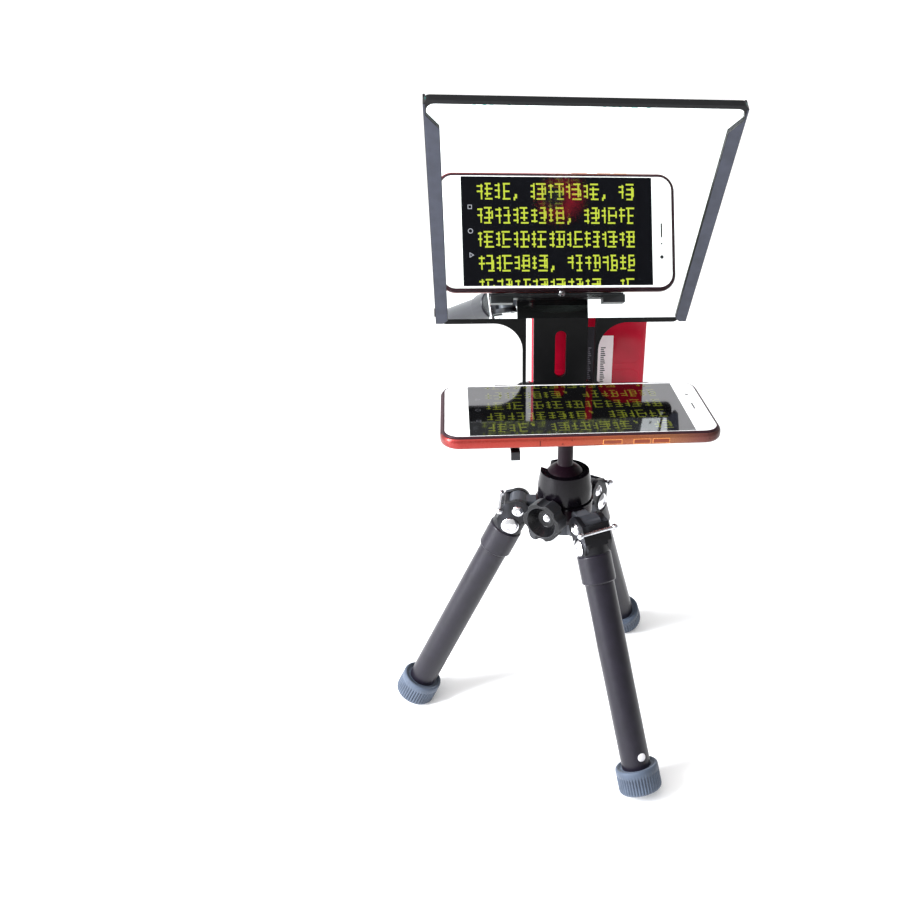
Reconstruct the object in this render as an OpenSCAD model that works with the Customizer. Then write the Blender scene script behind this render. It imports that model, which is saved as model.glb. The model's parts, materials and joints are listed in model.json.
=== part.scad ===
// Phone teleprompter on a mini tripod: a tilting beam-splitter hood and a display-phone tray on a
// bent T-shaped plate, a sliding clamp for the camera phone, a ball head and three folding legs.
// Millimetres, +Z up. Z = 0 is the floor. X and Y = 0 are the middle of the model's outline.

/* [Tripod] */
// Height of the leg pivots above the floor
pivot_z = 155.6; // [153:0.2:156]
// Distance from the tripod's axis to each leg pivot
pivot_r = 28.9; // [28.9:0.1:31]
// Splay of each leg from the vertical, in degrees
splay = 25.7; // [23:0.1:27]
// Direction of the first leg about the tripod's axis, in degrees
leg_azimuth = 173.8; // [170:0.1:178]
// Radius of a leg tube
tube_r = 9.1; // [8.8:0.1:9.4]
// Wall thickness of a leg tube
tube_wall = 1.2; // [0.8:0.1:1.6]
// Radius of a rubber foot
foot_r = 13.5; // [12:0.1:15]
// Height of a rubber foot
foot_h = 16; // [14:1:20]
// Depth that a foot's rim is flattened where it stands
foot_flat = 1.5; // [1:0.1:2]

/* [Ball head] */
// Height of the ball's centre above the floor
ball_z = 172; // [171.8:0.1:172.4]
// Radius of the ball
ball_r = 14; // [13.6:0.1:14]
// Radius of the ball's stem
stem_r = 4.8; // [4.5:0.1:5.2]
// Outer radius of the ball cup
cup_r = 17; // [16.6:0.1:17.4]
// Height of the cup's rim above the floor
cup_top = 181; // [180:0.2:182]
// Direction of the cup's drop notch, in degrees
notch_azimuth = 140; // [130:1:150]
// Direction of the lock knob, in degrees
knob_azimuth = 233.8; // [230:0.2:238]
// Height of the lock knob's axis above the floor
knob_z = 156.7; // [156.4:0.1:156.8]
// Radius over the lock knob's lobes
knob_r = 12.6; // [12:0.1:12.6]

/* [Bent plate] */
// Height of the underside of the plate's foot
base_z = 206; // [206:0.1:206.4]
// Thickness of the bent plate
plate_t = 3; // [2.5:0.1:3.2]
// Width of the plate's upright leg
leg_w = 47.4; // [46:0.2:50]
// Distance from the tripod's axis to the upright's front face
plate_y = 38; // [37.5:0.1:38.2]
// Height of the upright's top edge
plate_top = 285; // [280:1:290]
// Length of the cross wing
wing_w = 148; // [144:0.2:148.2]
// Height of the wing's lower edge
wing_z0 = 263; // [262:0.2:264]
// Height of the wing's upper edge
wing_z1 = 276; // [275:0.5:278]
// Radius where the upright meets the wing
wing_fillet = 18; // [14:0.5:20]
// Distance between the two side slots
slot_pitch = 38.4; // [37:0.2:39]
// Width of each side slot
side_slot_w = 4.7; // [4.6:0.1:4.9]
// Width of the centre slot
mid_slot_w = 6.9; // [6.6:0.1:7.2]

/* [Mirror hood] */
// Slope of the glass from the horizontal, in degrees
glass_slope = 57; // [55:0.5:60]
// Distance of the hood's hinge axis behind the tripod's axis
hinge_y = 35.6; // [35.2:0.1:35.7]
// Height of the hood's hinge axis
hinge_z = 271.1; // [270.5:0.1:271.5]
// Distance from the hinge axis to the hood's top edge
hood_len = 158.4; // [155:0.2:162]
// Outer width of the hood
hood_w = 152.4; // [152:0.1:153.5]
// Width of a side rail's face
rail_face = 7.2; // [6:0.1:8]
// Thickness of the glass
glass_t = 2; // [1.5:0.1:2]

/* [Phones] */
// Length of the display phone
phone_len = 153; // [150:0.2:154]
// Width of the display phone
phone_wid = 75.4; // [75:0.1:75.4]
// Thickness of the display phone
phone_t = 7; // [6.8:0.1:7.2]
// Corner radius of the phones
phone_r = 11; // [9:0.5:12]
// Sideways offset of the display phone on the tray
phone_x = 2; // [0:0.1:3]
// Distance from the tripod's axis forward to the display phone's middle
phone_y = -29.6; // [-30:0.1:-29.6]
// Height of the display phone's screen
phone_top = 235.4; // [235.2:0.1:235.6]
// Width of the camera phone
cam_wid = 74.3; // [73:0.1:74.4]
// Left edge of the camera phone
cam_x0 = -16.7; // [-16.7:0.1:-16]
// Back face of the camera phone
cam_y0 = 54; // [53.9:0.1:54.3]
// Height of the camera phone's top end
cam_top = 346; // [344:0.5:346]

/* [Hidden] */
$fn = 48;
run = 0.05;            // running clearance of a shaft in its bore
gap = 0.3;             // clearance between parts of different bodies
eps = 0.01;

// Legs, in each leg's own frame: pivot at the origin, -Z down the leg, +X outward, +Y along the pivot
leg_len = (pivot_z - foot_r * sin(splay) + foot_flat) / cos(splay);
knuckle_r = 7;
knuckle_w = 12;
knuckle_in = knuckle_w / 2;
cheek_y0 = knuckle_in + 0.2;
cheek_t = 3;
cheek_r = 7.4;
cheek_y1 = cheek_y0 + cheek_t;
pivot_pin_r = 2;
pivot_head_r = 3.8;
stop_head_r = 5.6;
socket_r = tube_r + 0.7;
socket_top = -7.6;
collar_top = -17;
collar_bottom = -35;
collar_r = 10.6;
stop_pin_z = -11.3;
lock_z = -3.2;
lock_half = 12;
lock_ball_r = 2.1;
wall_x0 = 7.2;
wall_x1 = 9.6;
wall_top = 1.5;
wall_bottom = -12;

// Head
hub_z0 = 141;
hub_r = 12.5;
arm_half = 4.6;
arm_top = pivot_z + 5;
base_bottom = 150;
cup_bottom = 161;
base_r = 17.6;
socket_ball_r = ball_r + 0.1;
spigot_r = 13;
seat_r = 11;
seat_z = 156.5;
bolt_r = 3;
knob_face = 28.5;
knob_back = 19;
knob_dish = 6.5;
knob_wing = 15.5;
knob_wing_turn = -28.4;
knob_shaft_r = 2.5;
stud_r = 3.15;
head_plate_z = base_z - 4;

// Bent plate and tray
bend_r = 5;
base_front = -18;
base_top = base_z + plate_t;
plate_back = plate_y + plate_t;
side_slot_z0 = base_z + 6;
side_slot_z1 = 276;
mid_slot_z0 = 227.4;
mid_slot_z1 = 257.8;
phone_bottom = phone_top - phone_t;
mat_t = 1;
deck_t = 3;
deck_z1 = phone_bottom - mat_t;
deck_z0 = deck_z1 - deck_t;
deck_w = 94;
deck_y0 = -56;
deck_y1 = 7.6;
riser_y0 = -16;
riser_y1 = 5;
riser_w = 40;
deck_screw_x = 14;
bar_x = 34.6;
bar_w = 5;
bar_t = 2;
bar_z1 = deck_z0 - 0.3;
bar_z0 = bar_z1 - bar_t;
jaw_y = phone_y + phone_wid / 2 + gap;
jaw_x0 = -42;
jaw_x1 = 45;
jaw_end = 14.5;
jaw_top = phone_top - 3;
tab_y = -62;
tab_z0 = 219;

// Hood, in its own frame: hinge axis at the origin, +Z up the slope, -Y towards the glass's face
glass_y = -7;
lip_t = 1.4;
side_t = 1.2;
hood_half = hood_w / 2;
side_x0 = hood_half - side_t;
rail_foot = -0.5;
glass_z0 = 2;
top_rail_h = 2;
top_wall = 0.8;
back_lip_t = 0.6;
rail_top = hood_len - top_rail_h;
lip_outer = 150;
lip_inner = 142.5;
pin_r = 1.5;
pin_head_r = 2.6;
pin_head_t = 0.8;
lug_x0 = wing_w / 2 - 3.6;
lug_x1 = side_x0 - gap;

// Camera phone and its clamp
carriage_z0 = 203;
carriage_z1 = 222;
carriage_y0 = plate_back + 0.1;
carriage_y1 = carriage_y0 + 3.1;
clamp_bolt_z = 217.6;
clamp_bolt_r = 2.2;
rail_z0 = 202;
rail_z1 = 212;
rail_y1 = cam_y0 - 0.8;
rod_y = (carriage_y1 + rail_y1) / 2;
rod_z = (rail_z0 + rail_z1) / 2;
rod_r = 2;
chamber_r = 3.7;
chamber_x0 = 12;
chamber_x1 = 46;
rail_x1 = 50;
rod_collar_x = 14;
rod_collar_t = 2;
pad_t = 1;
cam_x1 = cam_x0 + cam_wid;
cam_y1 = cam_y0 + phone_t;
cam_bottom = cam_top - phone_len;
hook_y1 = cam_y1 + 2.5;
spring_wire_r = 0.45;
spring_turns = 7;
glass_plate_t = 0.9;
button_t = 0.6;
button_travel = 0.4;
button_h = 2.2;
button_z = 2.8;
power_x = 14.8;
power_len = 9.8;
volume_up_x = 30.8;
volume_down_x = 41.3;
volume_len = 8.8;

// Outline of the whole model, which sets where X = 0 and Y = 0 are
foot_out = pivot_r + leg_len * sin(splay);
function leg_turn(i) = leg_azimuth + 120 * i;
function foot_reach(i, towards) =
    foot_out * cos(leg_turn(i) - towards)
    + foot_r * sqrt(1 - pow(sin(splay) * cos(leg_turn(i) - towards), 2));
function feet_reach(towards) = max([for (i = [0:2]) foot_reach(i, towards)]);
pin_reach = hood_half + pin_head_t;
x_high = max(feet_reach(0), phone_x + phone_len / 2, pin_reach);
x_low = -feet_reach(180);
y_high = feet_reach(90);
y_low = -feet_reach(270);
mid_x = (x_high + x_low) / 2;
mid_y = (y_high + y_low) / 2;

// ---------- helpers ----------
module place() translate([-mid_x, -mid_y, 0]) children();

module leg_frame(i) place() rotate([0, 0, leg_turn(i)]) translate([pivot_r, 0, pivot_z])
    rotate([0, -splay, 0]) children();

module hood_frame() place() translate([0, hinge_y, hinge_z]) rotate([90 - glass_slope, 0, 0])
    children();

module knob_frame() place() translate([0, 0, knob_z]) rotate([0, 0, knob_azimuth])
    rotate([0, 90, 0]) children();

// A box given by its low and high corners
module block(low, high) translate(low) cube(high - low);

// A cylinder along Y, centred on the XZ point given
module y_rod(x, z, r, y0, y1) translate([x, y0, z]) rotate([-90, 0, 0]) cylinder(r = r, h = y1 - y0);

// A cylinder along X
module x_rod(y, z, r, x0, x1) translate([x0, y, z]) rotate([0, 90, 0]) cylinder(r = r, h = x1 - x0);

// An XZ outline given thickness along Y
module xz_sheet(y0, y1) translate([0, y1, 0]) rotate([90, 0, 0]) linear_extrude(y1 - y0) children();

// A YZ outline given thickness along X
module yz_sheet(x0, x1) translate([x0, 0, 0]) rotate([90, 0, 90]) linear_extrude(x1 - x0) children();

module round_rect(w, h, r) {
    square([w - 2 * r, h], center = true);
    square([w, h - 2 * r], center = true);
    for (x = [-1, 1], y = [-1, 1]) translate([x * (w / 2 - r), y * (h / 2 - r)]) circle(r = r);
}

// An upright slot with round ends
module slot(x, z0, z1, w) {
    translate([x - w / 2, z0 + w / 2]) square([w, z1 - z0 - w]);
    for (z = [z0 + w / 2, z1 - w / 2]) translate([x, z]) circle(d = w);
}

// A screw head with a domed top, rising from z = 0
module dome_head(r, h) intersection() {
    cylinder(r = r, h = h);
    translate([0, 0, h - (r * r + h * h) / (2 * h)]) sphere(r = (r * r + h * h) / (2 * h), $fn = 64);
}

// ---------- tripod hub ----------
// Side outline of one arm, from the hub out to its knuckle
arm_in = pivot_r - socket_r;
arm_outline = [[8, hub_z0 + 1], [arm_in - 2.6, hub_z0 + 1.8], [arm_in - 1, pivot_z + socket_top + 0.5],
    [pivot_r, pivot_z - knuckle_r + 0.8], [pivot_r, arm_top], [base_r - 2, arm_top],
    [base_r - 2, base_bottom], [8, base_bottom]];

module hub_spider() color("#3a3c42") place() difference() {
    union() {
        translate([0, 0, hub_z0]) cylinder(r = hub_r, h = base_bottom - hub_z0);
        for (i = [0:2]) rotate([0, 0, leg_turn(i)]) {
            xz_sheet(-arm_half, arm_half) polygon(arm_outline);
            y_rod(pivot_r, pivot_z, knuckle_r, -knuckle_in, knuckle_in);
        }
    }
    for (i = [0:2]) rotate([0, 0, leg_turn(i)])
        y_rod(pivot_r, pivot_z, pivot_pin_r + run, -knuckle_in - 1, knuckle_in + 1);
    translate([0, 0, hub_z0 - 1]) cylinder(r = bolt_r, h = 20);
    translate([0, 0, base_bottom]) cylinder(r = base_r + run, h = 20);
}

module head_base() color("#141417") place() difference() {
    union() {
        translate([0, 0, base_bottom]) cylinder(r1 = base_r - 2.6, r2 = base_r, h = 4);
        translate([0, 0, base_bottom + 4]) cylinder(r = base_r, h = cup_bottom - base_bottom - 4);
        translate([0, 0, cup_bottom]) cylinder(r = spigot_r, h = 2.6);
    }
    translate([0, 0, seat_z]) cylinder(r = seat_r, h = 10);
    translate([0, 0, ball_z]) sphere(r = socket_ball_r);
    translate([0, 0, base_bottom - 1]) cylinder(r = bolt_r, h = 10);
    rotate([0, 0, knob_azimuth]) x_rod(0, knob_z, knob_shaft_r + run, seat_r - 1, base_r + 2);
}

module centre_bolt() color("#9a9ca2") place() {
    difference() {
        translate([0, 0, hub_z0 - 3.5]) cylinder(r = 6, h = 3.5);
        translate([0, 0, hub_z0 - 4]) cylinder(r = 2.9, h = 2.5, $fn = 6);
    }
    translate([0, 0, hub_z0]) cylinder(r = bolt_r, h = seat_z - 1 - hub_z0);
}

module ball_seat() color("#d8d4c6") place() difference() {
    translate([0, 0, seat_z]) cylinder(r = seat_r, h = 6.6);
    translate([0, 0, ball_z]) sphere(r = socket_ball_r);
    translate([0, 0, seat_z - 1]) cylinder(r = 7, h = 10);
}

// ---------- legs ----------
// Side outline of a bracket cheek, round about the pivot
module cheek_outline() {
    circle(r = cheek_r);
    polygon([[-6, -8], [-4.5, -16.2], [6, -16.2], [wall_x1, wall_bottom + 2], [wall_x1, wall_top],
        [5, 5], [-5, 5]]);
}

module leg_bracket(i) color("#1b1b20") leg_frame(i) difference() {
    union() {
        for (s = [-1, 1]) xz_sheet(min(s * cheek_y0, s * cheek_y1), max(s * cheek_y0, s * cheek_y1))
            cheek_outline();
        block([wall_x0, -cheek_y0, wall_bottom], [wall_x1, cheek_y0, wall_top]);
        translate([0, 0, collar_top]) cylinder(r = socket_r, h = socket_top - collar_top);
        translate([0, 0, collar_top - 12]) cylinder(r = tube_r - tube_wall, h = 12);
    }
    y_rod(0, 0, pivot_pin_r, -cheek_y1 - 1, cheek_y1 + 1);
    y_rod(0, stop_pin_z, pivot_pin_r, -socket_r - 1, socket_r + 1);
    block([wall_x0 - 1, -2.1, lock_z - 1.1], [wall_x1 + 1, 2.1, lock_z + 1.1]);
}

module leg_collar(i) color("#2a2a31") leg_frame(i) difference() {
    union() {
        translate([0, 0, collar_bottom + 0.8]) cylinder(r = collar_r, h = collar_top - collar_bottom - 1.6);
        translate([0, 0, collar_bottom]) cylinder(r1 = collar_r - 0.8, r2 = collar_r, h = 0.8);
        translate([0, 0, collar_top - 0.8]) cylinder(r1 = collar_r, r2 = collar_r - 0.8, h = 0.8);
    }
    translate([0, 0, collar_bottom - 1]) cylinder(r = tube_r, h = 30);
}

module leg_tube(i) color("#33343d") leg_frame(i) difference() {
    translate([0, 0, 3 - leg_len]) cylinder(r = tube_r, h = collar_top + leg_len - 3);
    translate([0, 0, 2 - leg_len]) cylinder(r = tube_r - tube_wall, h = leg_len);
}

module leg_foot(i) color("#4b525c") difference() {
    leg_frame(i) difference() {
        union() {
            translate([0, 0, -leg_len]) cylinder(r = foot_r, h = foot_h - 1.2);
            translate([0, 0, foot_h - 1.2 - leg_len]) cylinder(r1 = foot_r, r2 = foot_r - 1.2, h = 1.2);
        }
        translate([0, 0, 3 - leg_len]) cylinder(r = tube_r, h = foot_h);
    }
    translate([-200, -200, -20]) cube([400, 400, 20]);
}

module leg_screws(i) color("#d9dadd") leg_frame(i) {
    y_rod(0, 0, pivot_pin_r, -cheek_y1, cheek_y1);
    y_rod(0, stop_pin_z, pivot_pin_r, -socket_r, socket_r);
    for (s = [-1, 1]) {
        translate([0, s * cheek_y1, 0]) rotate([-90 * s, 0, 0]) dome_head(pivot_head_r, 1.8);
        translate([0, s * socket_r, stop_pin_z]) rotate([-90 * s, 0, 0]) dome_head(stop_head_r, 2);
    }
}

module leg_lock(i) color("#c9cacd") leg_frame(i) {
    block([wall_x0 - 0.2, -2, lock_z - 1], [wall_x1 + gap, 2, lock_z + 1]);
    y_rod(wall_x1 + gap + 1, lock_z, 1.1, -lock_half, lock_half);
    for (s = [-1, 1]) translate([wall_x1 + gap + 1, s * lock_half, lock_z])
        sphere(r = lock_ball_r, $fn = 32);
}

module leg_left_bracket() leg_bracket(0);
module leg_left_collar() leg_collar(0);
module leg_left_tube() leg_tube(0);
module leg_left_foot() leg_foot(0);
module leg_left_screws() leg_screws(0);
module leg_left_lock() leg_lock(0);
module leg_front_bracket() leg_bracket(1);
module leg_front_collar() leg_collar(1);
module leg_front_tube() leg_tube(1);
module leg_front_foot() leg_foot(1);
module leg_front_screws() leg_screws(1);
module leg_front_lock() leg_lock(1);
module leg_rear_bracket() leg_bracket(2);
module leg_rear_collar() leg_collar(2);
module leg_rear_tube() leg_tube(2);
module leg_rear_foot() leg_foot(2);
module leg_rear_screws() leg_screws(2);
module leg_rear_lock() leg_lock(2);

// ---------- ball head ----------
module lock_knob() color("#202226") knob_frame() difference() {
    union() {
        translate([0, 0, knob_back]) cylinder(r = knob_r, h = knob_face - knob_back);
        rotate([0, 0, knob_wing_turn]) translate([0, 0, knob_back + 4]) {
            translate([0, -3.6, 0]) cube([knob_wing - 3, 7.2, knob_face - knob_back - 5.5]);
            translate([knob_wing - 3.6, 0, 0]) cylinder(r = 3.6, h = knob_face - knob_back - 5.5);
        }
    }
    for (a = [30:60:330]) rotate([0, 0, a + knob_wing_turn])
        translate([knob_r + 2.6, 0, knob_back - 1]) cylinder(r = 4.2, h = 14);
    translate([0, 0, knob_face - knob_dish]) cylinder(r1 = 5.5, r2 = 9.9, h = knob_dish + eps);
    translate([0, 0, knob_back - 1]) cylinder(r = knob_shaft_r, h = 12);
}

module lock_knob_screw() color("#dcdde0") knob_frame() {
    translate([0, 0, seat_r + 1.5]) cylinder(r = knob_shaft_r, h = knob_face - knob_dish - seat_r - 1.5);
    translate([0, 0, knob_face - knob_dish]) dome_head(3.4, 1.8);
}

module ball_cup() color("#101013") place() difference() {
    union() {
        translate([0, 0, cup_bottom + 0.2]) cylinder(r = cup_r + 1, h = 1.2);
        translate([0, 0, cup_bottom + 1.4]) cylinder(r = cup_r - 0.4, h = 1);
        translate([0, 0, cup_bottom + 2.4]) cylinder(r = cup_r, h = 7.6);
        translate([0, 0, cup_bottom + 10]) cylinder(r1 = cup_r, r2 = cup_r - 1.8,
            h = cup_top - cup_bottom - 10);
    }
    translate([0, 0, ball_z]) sphere(r = socket_ball_r);
    translate([0, 0, cup_bottom - 1]) cylinder(r = spigot_r + run, h = 3.9);
    translate([0, 0, ball_z]) rotate([0, 0, notch_azimuth]) {
        translate([0, -stem_r - 0.6, 0]) cube([30, 2 * stem_r + 1.2, 30]);
        rotate([0, 90, 0]) cylinder(r = stem_r + 0.6, h = 30);
    }
}

module ball_stem() color("#15151a") place() difference() {
    union() {
        intersection() {
            translate([0, 0, ball_z]) sphere(r = ball_r, $fn = 96);
            translate([0, 0, ball_z - 0.72 * ball_r]) cylinder(r = 20, h = 40);
        }
        translate([0, 0, ball_z + 8]) cylinder(r = stem_r, h = head_plate_z - ball_z - 8);
    }
    translate([0, 0, head_plate_z - 8]) cylinder(r = stud_r, h = 12);
}

module head_plate() color("#1d1d22") place() difference() {
    union() {
        translate([0, 0, head_plate_z]) cylinder(r1 = 9.8, r2 = 11, h = 1.2);
        translate([0, 0, head_plate_z + 1.2]) cylinder(r = 11, h = 2.8);
    }
    translate([0, 0, head_plate_z - 1]) cylinder(r = stud_r, h = 8);
}

module head_stud() color("#c4c5c9") place()
    translate([0, 0, head_plate_z - 8]) cylinder(r = stud_r, h = 8 + 4 + plate_t - 0.4);

// ---------- bent plate ----------
module tee_outline() difference() {
    union() {
        translate([-leg_w / 2, base_z + bend_r]) square([leg_w, plate_top - 6 - base_z - bend_r]);
        translate([0, plate_top - 12]) round_rect(leg_w, 24, 6);
        translate([0, (wing_z0 + wing_z1) / 2]) round_rect(wing_w, wing_z1 - wing_z0, 4);
        translate([-leg_w / 2 - wing_fillet, wing_z0 - wing_fillet])
            square([leg_w + 2 * wing_fillet, wing_fillet + 4]);
    }
    for (s = [-1, 1]) {
        translate([s * (leg_w / 2 + wing_fillet), wing_z0 - wing_fillet]) circle(r = wing_fillet, $fn = 64);
        slot(s * slot_pitch / 2, side_slot_z0, side_slot_z1, side_slot_w);
    }
    slot(0, mid_slot_z0, mid_slot_z1, mid_slot_w);
}

module tee_plate() color("#0d0d10") place() difference() {
    union() {
        xz_sheet(plate_y, plate_back) tee_outline();
        block([-leg_w / 2, base_front + 10, base_z], [leg_w / 2, plate_back - bend_r, base_top]);
        translate([0, base_front + 10, base_z]) linear_extrude(plate_t)
            round_rect(leg_w, 20, 9);
        yz_sheet(-leg_w / 2, leg_w / 2) difference() {
            translate([plate_back - bend_r, base_z + bend_r]) circle(r = bend_r);
            translate([plate_back - bend_r, base_z + bend_r]) circle(r = bend_r - plate_t);
            translate([plate_back - 3 * bend_r, base_z]) square([2 * bend_r, 4 * bend_r]);
            translate([plate_back - 2 * bend_r, base_z + bend_r]) square([3 * bend_r, 4 * bend_r]);
        }
    }
    translate([0, 0, base_z - 1]) cylinder(r = stud_r + run, h = plate_t + 2);
    translate([0, plate_y + 1, plate_top - 3.5]) rotate([90, 0, 0]) cylinder(r = 1.6, h = 5, center = true);
    for (s = [-1, 1]) {
        translate([s * deck_screw_x, -6, base_z - 1]) cylinder(r = 1.6, h = plate_t + 2);
        y_rod(s * (lug_x0 - 3.4), hinge_z - 1.6, 1.2, plate_y - 1, plate_back + 1);
    }
}

module plate_screws() color("#e0e0e4") place() {
    for (s = [-1, 1]) {
        x = s * (lug_x0 - 3.4);
        y_rod(x, hinge_z - 1.6, 1.2, plate_y - 1.2, plate_back);
        translate([x, plate_back, hinge_z - 1.6]) rotate([-90, 0, 0]) dome_head(2.3, 1.2);
    }
    y_rod(0, plate_top - 3.5, 1.6, plate_y, plate_y + 2);
    translate([0, plate_y, plate_top - 3.5]) rotate([90, 0, 0]) dome_head(2.2, 1.2);
}

module hinge_lugs() color("#141417") place() for (s = [-1, 1]) difference() {
    union() {
        x_rod(hinge_y, hinge_z, 2.3, s > 0 ? lug_x0 : -lug_x1, s > 0 ? lug_x1 : -lug_x0);
        block([s > 0 ? lug_x0 - 6 : -lug_x0, plate_y - 1.2, hinge_z - 4],
            [s > 0 ? lug_x0 : 6 - lug_x0, plate_y, hinge_z + 4]);
        block([s > 0 ? lug_x0 : -wing_w / 2, hinge_y, hinge_z - 2.3],
            [s > 0 ? wing_w / 2 : -lug_x0, plate_y, hinge_z + 2.3]);
    }
    x_rod(hinge_y, hinge_z, pin_r + run, s > 0 ? lug_x0 - 1 : -lug_x1 - 1, s > 0 ? lug_x1 + 1 : 1 - lug_x0);
    y_rod(s * (lug_x0 - 3.4), hinge_z - 1.6, 1.2, plate_y - 2, plate_y + 1);
}

// ---------- tray ----------
module tray_riser() color("#18181b") place() difference() {
    block([-riser_w / 2, riser_y0, base_top], [riser_w / 2, riser_y1, deck_z0]);
    block([-riser_w / 2 - 1, riser_y0 + 3, base_top + 3], [riser_w / 2 + 1, riser_y1 - 3, deck_z0 - 3]);
    translate([0, 0, base_top - 1]) cylinder(r = 4.2, h = 5);
    for (s = [-1, 1]) translate([s * deck_screw_x, -6, base_top - 1]) cylinder(r = 1.6, h = 30);
}

module tray_deck() color("#1b1b1f") place() difference() {
    union() {
        translate([0, (deck_y0 + deck_y1) / 2, deck_z0]) linear_extrude(deck_t)
            round_rect(deck_w, deck_y1 - deck_y0, 5);
        for (s = [-1, 1]) translate([s * bar_x, 0, 0])
            block([-bar_w / 2 - 1.6, -32, bar_z0 - 1.4], [bar_w / 2 + 1.6, 4, deck_z0 + eps]);
    }
    for (s = [-1, 1]) {
        translate([s * bar_x, 0, 0])
            block([-bar_w / 2 - 0.15, -40, bar_z0 - 0.15], [bar_w / 2 + 0.15, 20, bar_z1 + 0.15]);
        translate([s * deck_screw_x, -6, deck_z0 - 1]) cylinder(r = 1.6, h = deck_t + 2);
    }
}

module tray_mat() color("#26262a") place()
    translate([0, (deck_y0 + deck_y1) / 2, deck_z1]) linear_extrude(mat_t)
        round_rect(deck_w - 4, deck_y1 - deck_y0 - 4, 4);

module tray_screws() color("#8f9096") place() for (s = [-1, 1]) translate([s * deck_screw_x, -6, 0]) {
    translate([0, 0, base_z]) cylinder(r = 1.6, h = deck_z1 - base_z);
    translate([0, 0, base_z - 1.3]) cylinder(r = 2.8, h = 1.3);
}

module rear_jaw() color("#121214") place() {
    difference() {
        block([jaw_x0, jaw_y + pad_t, bar_z0], [jaw_x1, jaw_y + 6.2, jaw_top]);
        block([jaw_x0 + jaw_end, jaw_y + 3, bar_z0 - 1], [jaw_x1 - jaw_end, jaw_y + 10, phone_top]);
    }
    for (s = [-1, 1]) translate([s * bar_x, 0, 0])
        block([-bar_w / 2, s > 0 ? -34 : tab_y, bar_z0], [bar_w / 2, jaw_y + pad_t + eps, bar_z1]);
    block([-bar_x - bar_w / 2, tab_y, tab_z0], [-bar_x + bar_w / 2, tab_y + 1.8, bar_z1]);
}

module rear_jaw_pad() color("#2b2b2e") place()
    block([jaw_x0 + 1, jaw_y, phone_bottom], [jaw_x1 - 1, jaw_y + pad_t, jaw_top - 0.4]);

// ---------- mirror hood ----------
// Side wall of a rail, in the YZ plane of the hood's frame
wall_outline = [[glass_y - lip_t, rail_foot], [-2, -3.6], [2.6, -3.6], [4, -1.6], [4, 4], [-1.5, 13],
    [-1.5, rail_top], [glass_y - lip_t, rail_top]];

// Front face of the right rail, in the XZ plane of the hood's frame
face_outline = [[hood_half - rail_face, rail_foot + 3], [hood_half - rail_face + 3, rail_foot],
    [side_x0 + eps, rail_foot], [side_x0 + eps, lip_outer], [hood_half - rail_face, lip_inner]];

module hood_rail(side) color("#3b3d47") hood_frame() mirror([side < 0 ? 1 : 0, 0, 0]) difference() {
    union() {
        yz_sheet(side_x0, hood_half) polygon(wall_outline);
        xz_sheet(glass_y - lip_t, glass_y) polygon(face_outline);
        block([side_x0 - 3, glass_y + glass_t, glass_z0 + 3],
            [side_x0 + eps, glass_y + glass_t + lip_t, rail_top]);
    }
    x_rod(0, 0, pin_r, side_x0 - 1, hood_half + 1);
}

module hood_left_rail() hood_rail(-1);
module hood_right_rail() hood_rail(1);

// Face of the top rail, with rounded outer corners and small rounded gussets under its ends
module top_face() difference() {
    union() {
        translate([0, hood_len - 5]) round_rect(hood_w, 10, 3.5);
        for (s = [-1, 1]) translate([s > 0 ? hood_half - 7 : -hood_half, rail_top - 7]) square([7, 7]);
    }
    translate([-hood_half, rail_top - 20]) square([side_t, 20]);
    translate([hood_half - side_t, rail_top - 20]) square([side_t, 20]);
    translate([0, rail_top - 10]) round_rect(hood_w - 2 * side_t - 0.4, 20, 4);
}

module hood_top_rail() color("#101114") hood_frame() {
    xz_sheet(glass_y - lip_t, glass_y) intersection() {
        top_face();
        translate([-hood_half, rail_top - 5]) square([hood_w, 20]);
    }
    difference() {
        xz_sheet(glass_y, glass_y + glass_t + back_lip_t) translate([0, hood_len - 5])
            round_rect(hood_w, 10, 3.5);
        block([-side_x0, glass_y - 1, 0], [side_x0, glass_y + glass_t, hood_len - top_wall]);
        block([-hood_half - 1, glass_y - 1, 0], [hood_half + 1, 10, rail_top]);
    }
}

module mirror_glass() color("#bfe8df", 0.4) hood_frame()
    block([-side_x0, glass_y, glass_z0], [side_x0, glass_y + glass_t, hood_len - top_wall]);

module hinge_pins() color("#2a2a2e") hood_frame() for (s = [-1, 1]) mirror([s < 0 ? 1 : 0, 0, 0]) {
    x_rod(0, 0, pin_r, lug_x0 + 0.2, hood_half);
    x_rod(0, 0, pin_head_r, hood_half, hood_half + pin_head_t);
}

// ---------- camera phone's clamp ----------
module clamp_carriage() color("#151518") place() difference() {
    translate([0, 0, (carriage_z0 + carriage_z1) / 2]) xz_sheet(carriage_y0, carriage_y1)
        round_rect(54, carriage_z1 - carriage_z0, 3);
    for (s = [-1, 1]) y_rod(s * slot_pitch / 2, clamp_bolt_z, clamp_bolt_r, carriage_y0 - 1, carriage_y1 + 1);
}

module clamp_bolts() color("#a9abb0") place() for (s = [-1, 1]) translate([s * slot_pitch / 2, 0, 0]) {
    y_rod(0, clamp_bolt_z, clamp_bolt_r, plate_y - 0.1, carriage_y1 + 3.4);
    y_rod(0, clamp_bolt_z, 4.1, plate_y - 2.4, plate_y - 0.1);
    difference() {
        translate([0, carriage_y1, clamp_bolt_z]) rotate([-90, 30, 0]) cylinder(r = 4.3, h = 3, $fn = 6);
        y_rod(0, clamp_bolt_z, clamp_bolt_r, carriage_y1 - 1, carriage_y1 + 5);
    }
}

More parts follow.
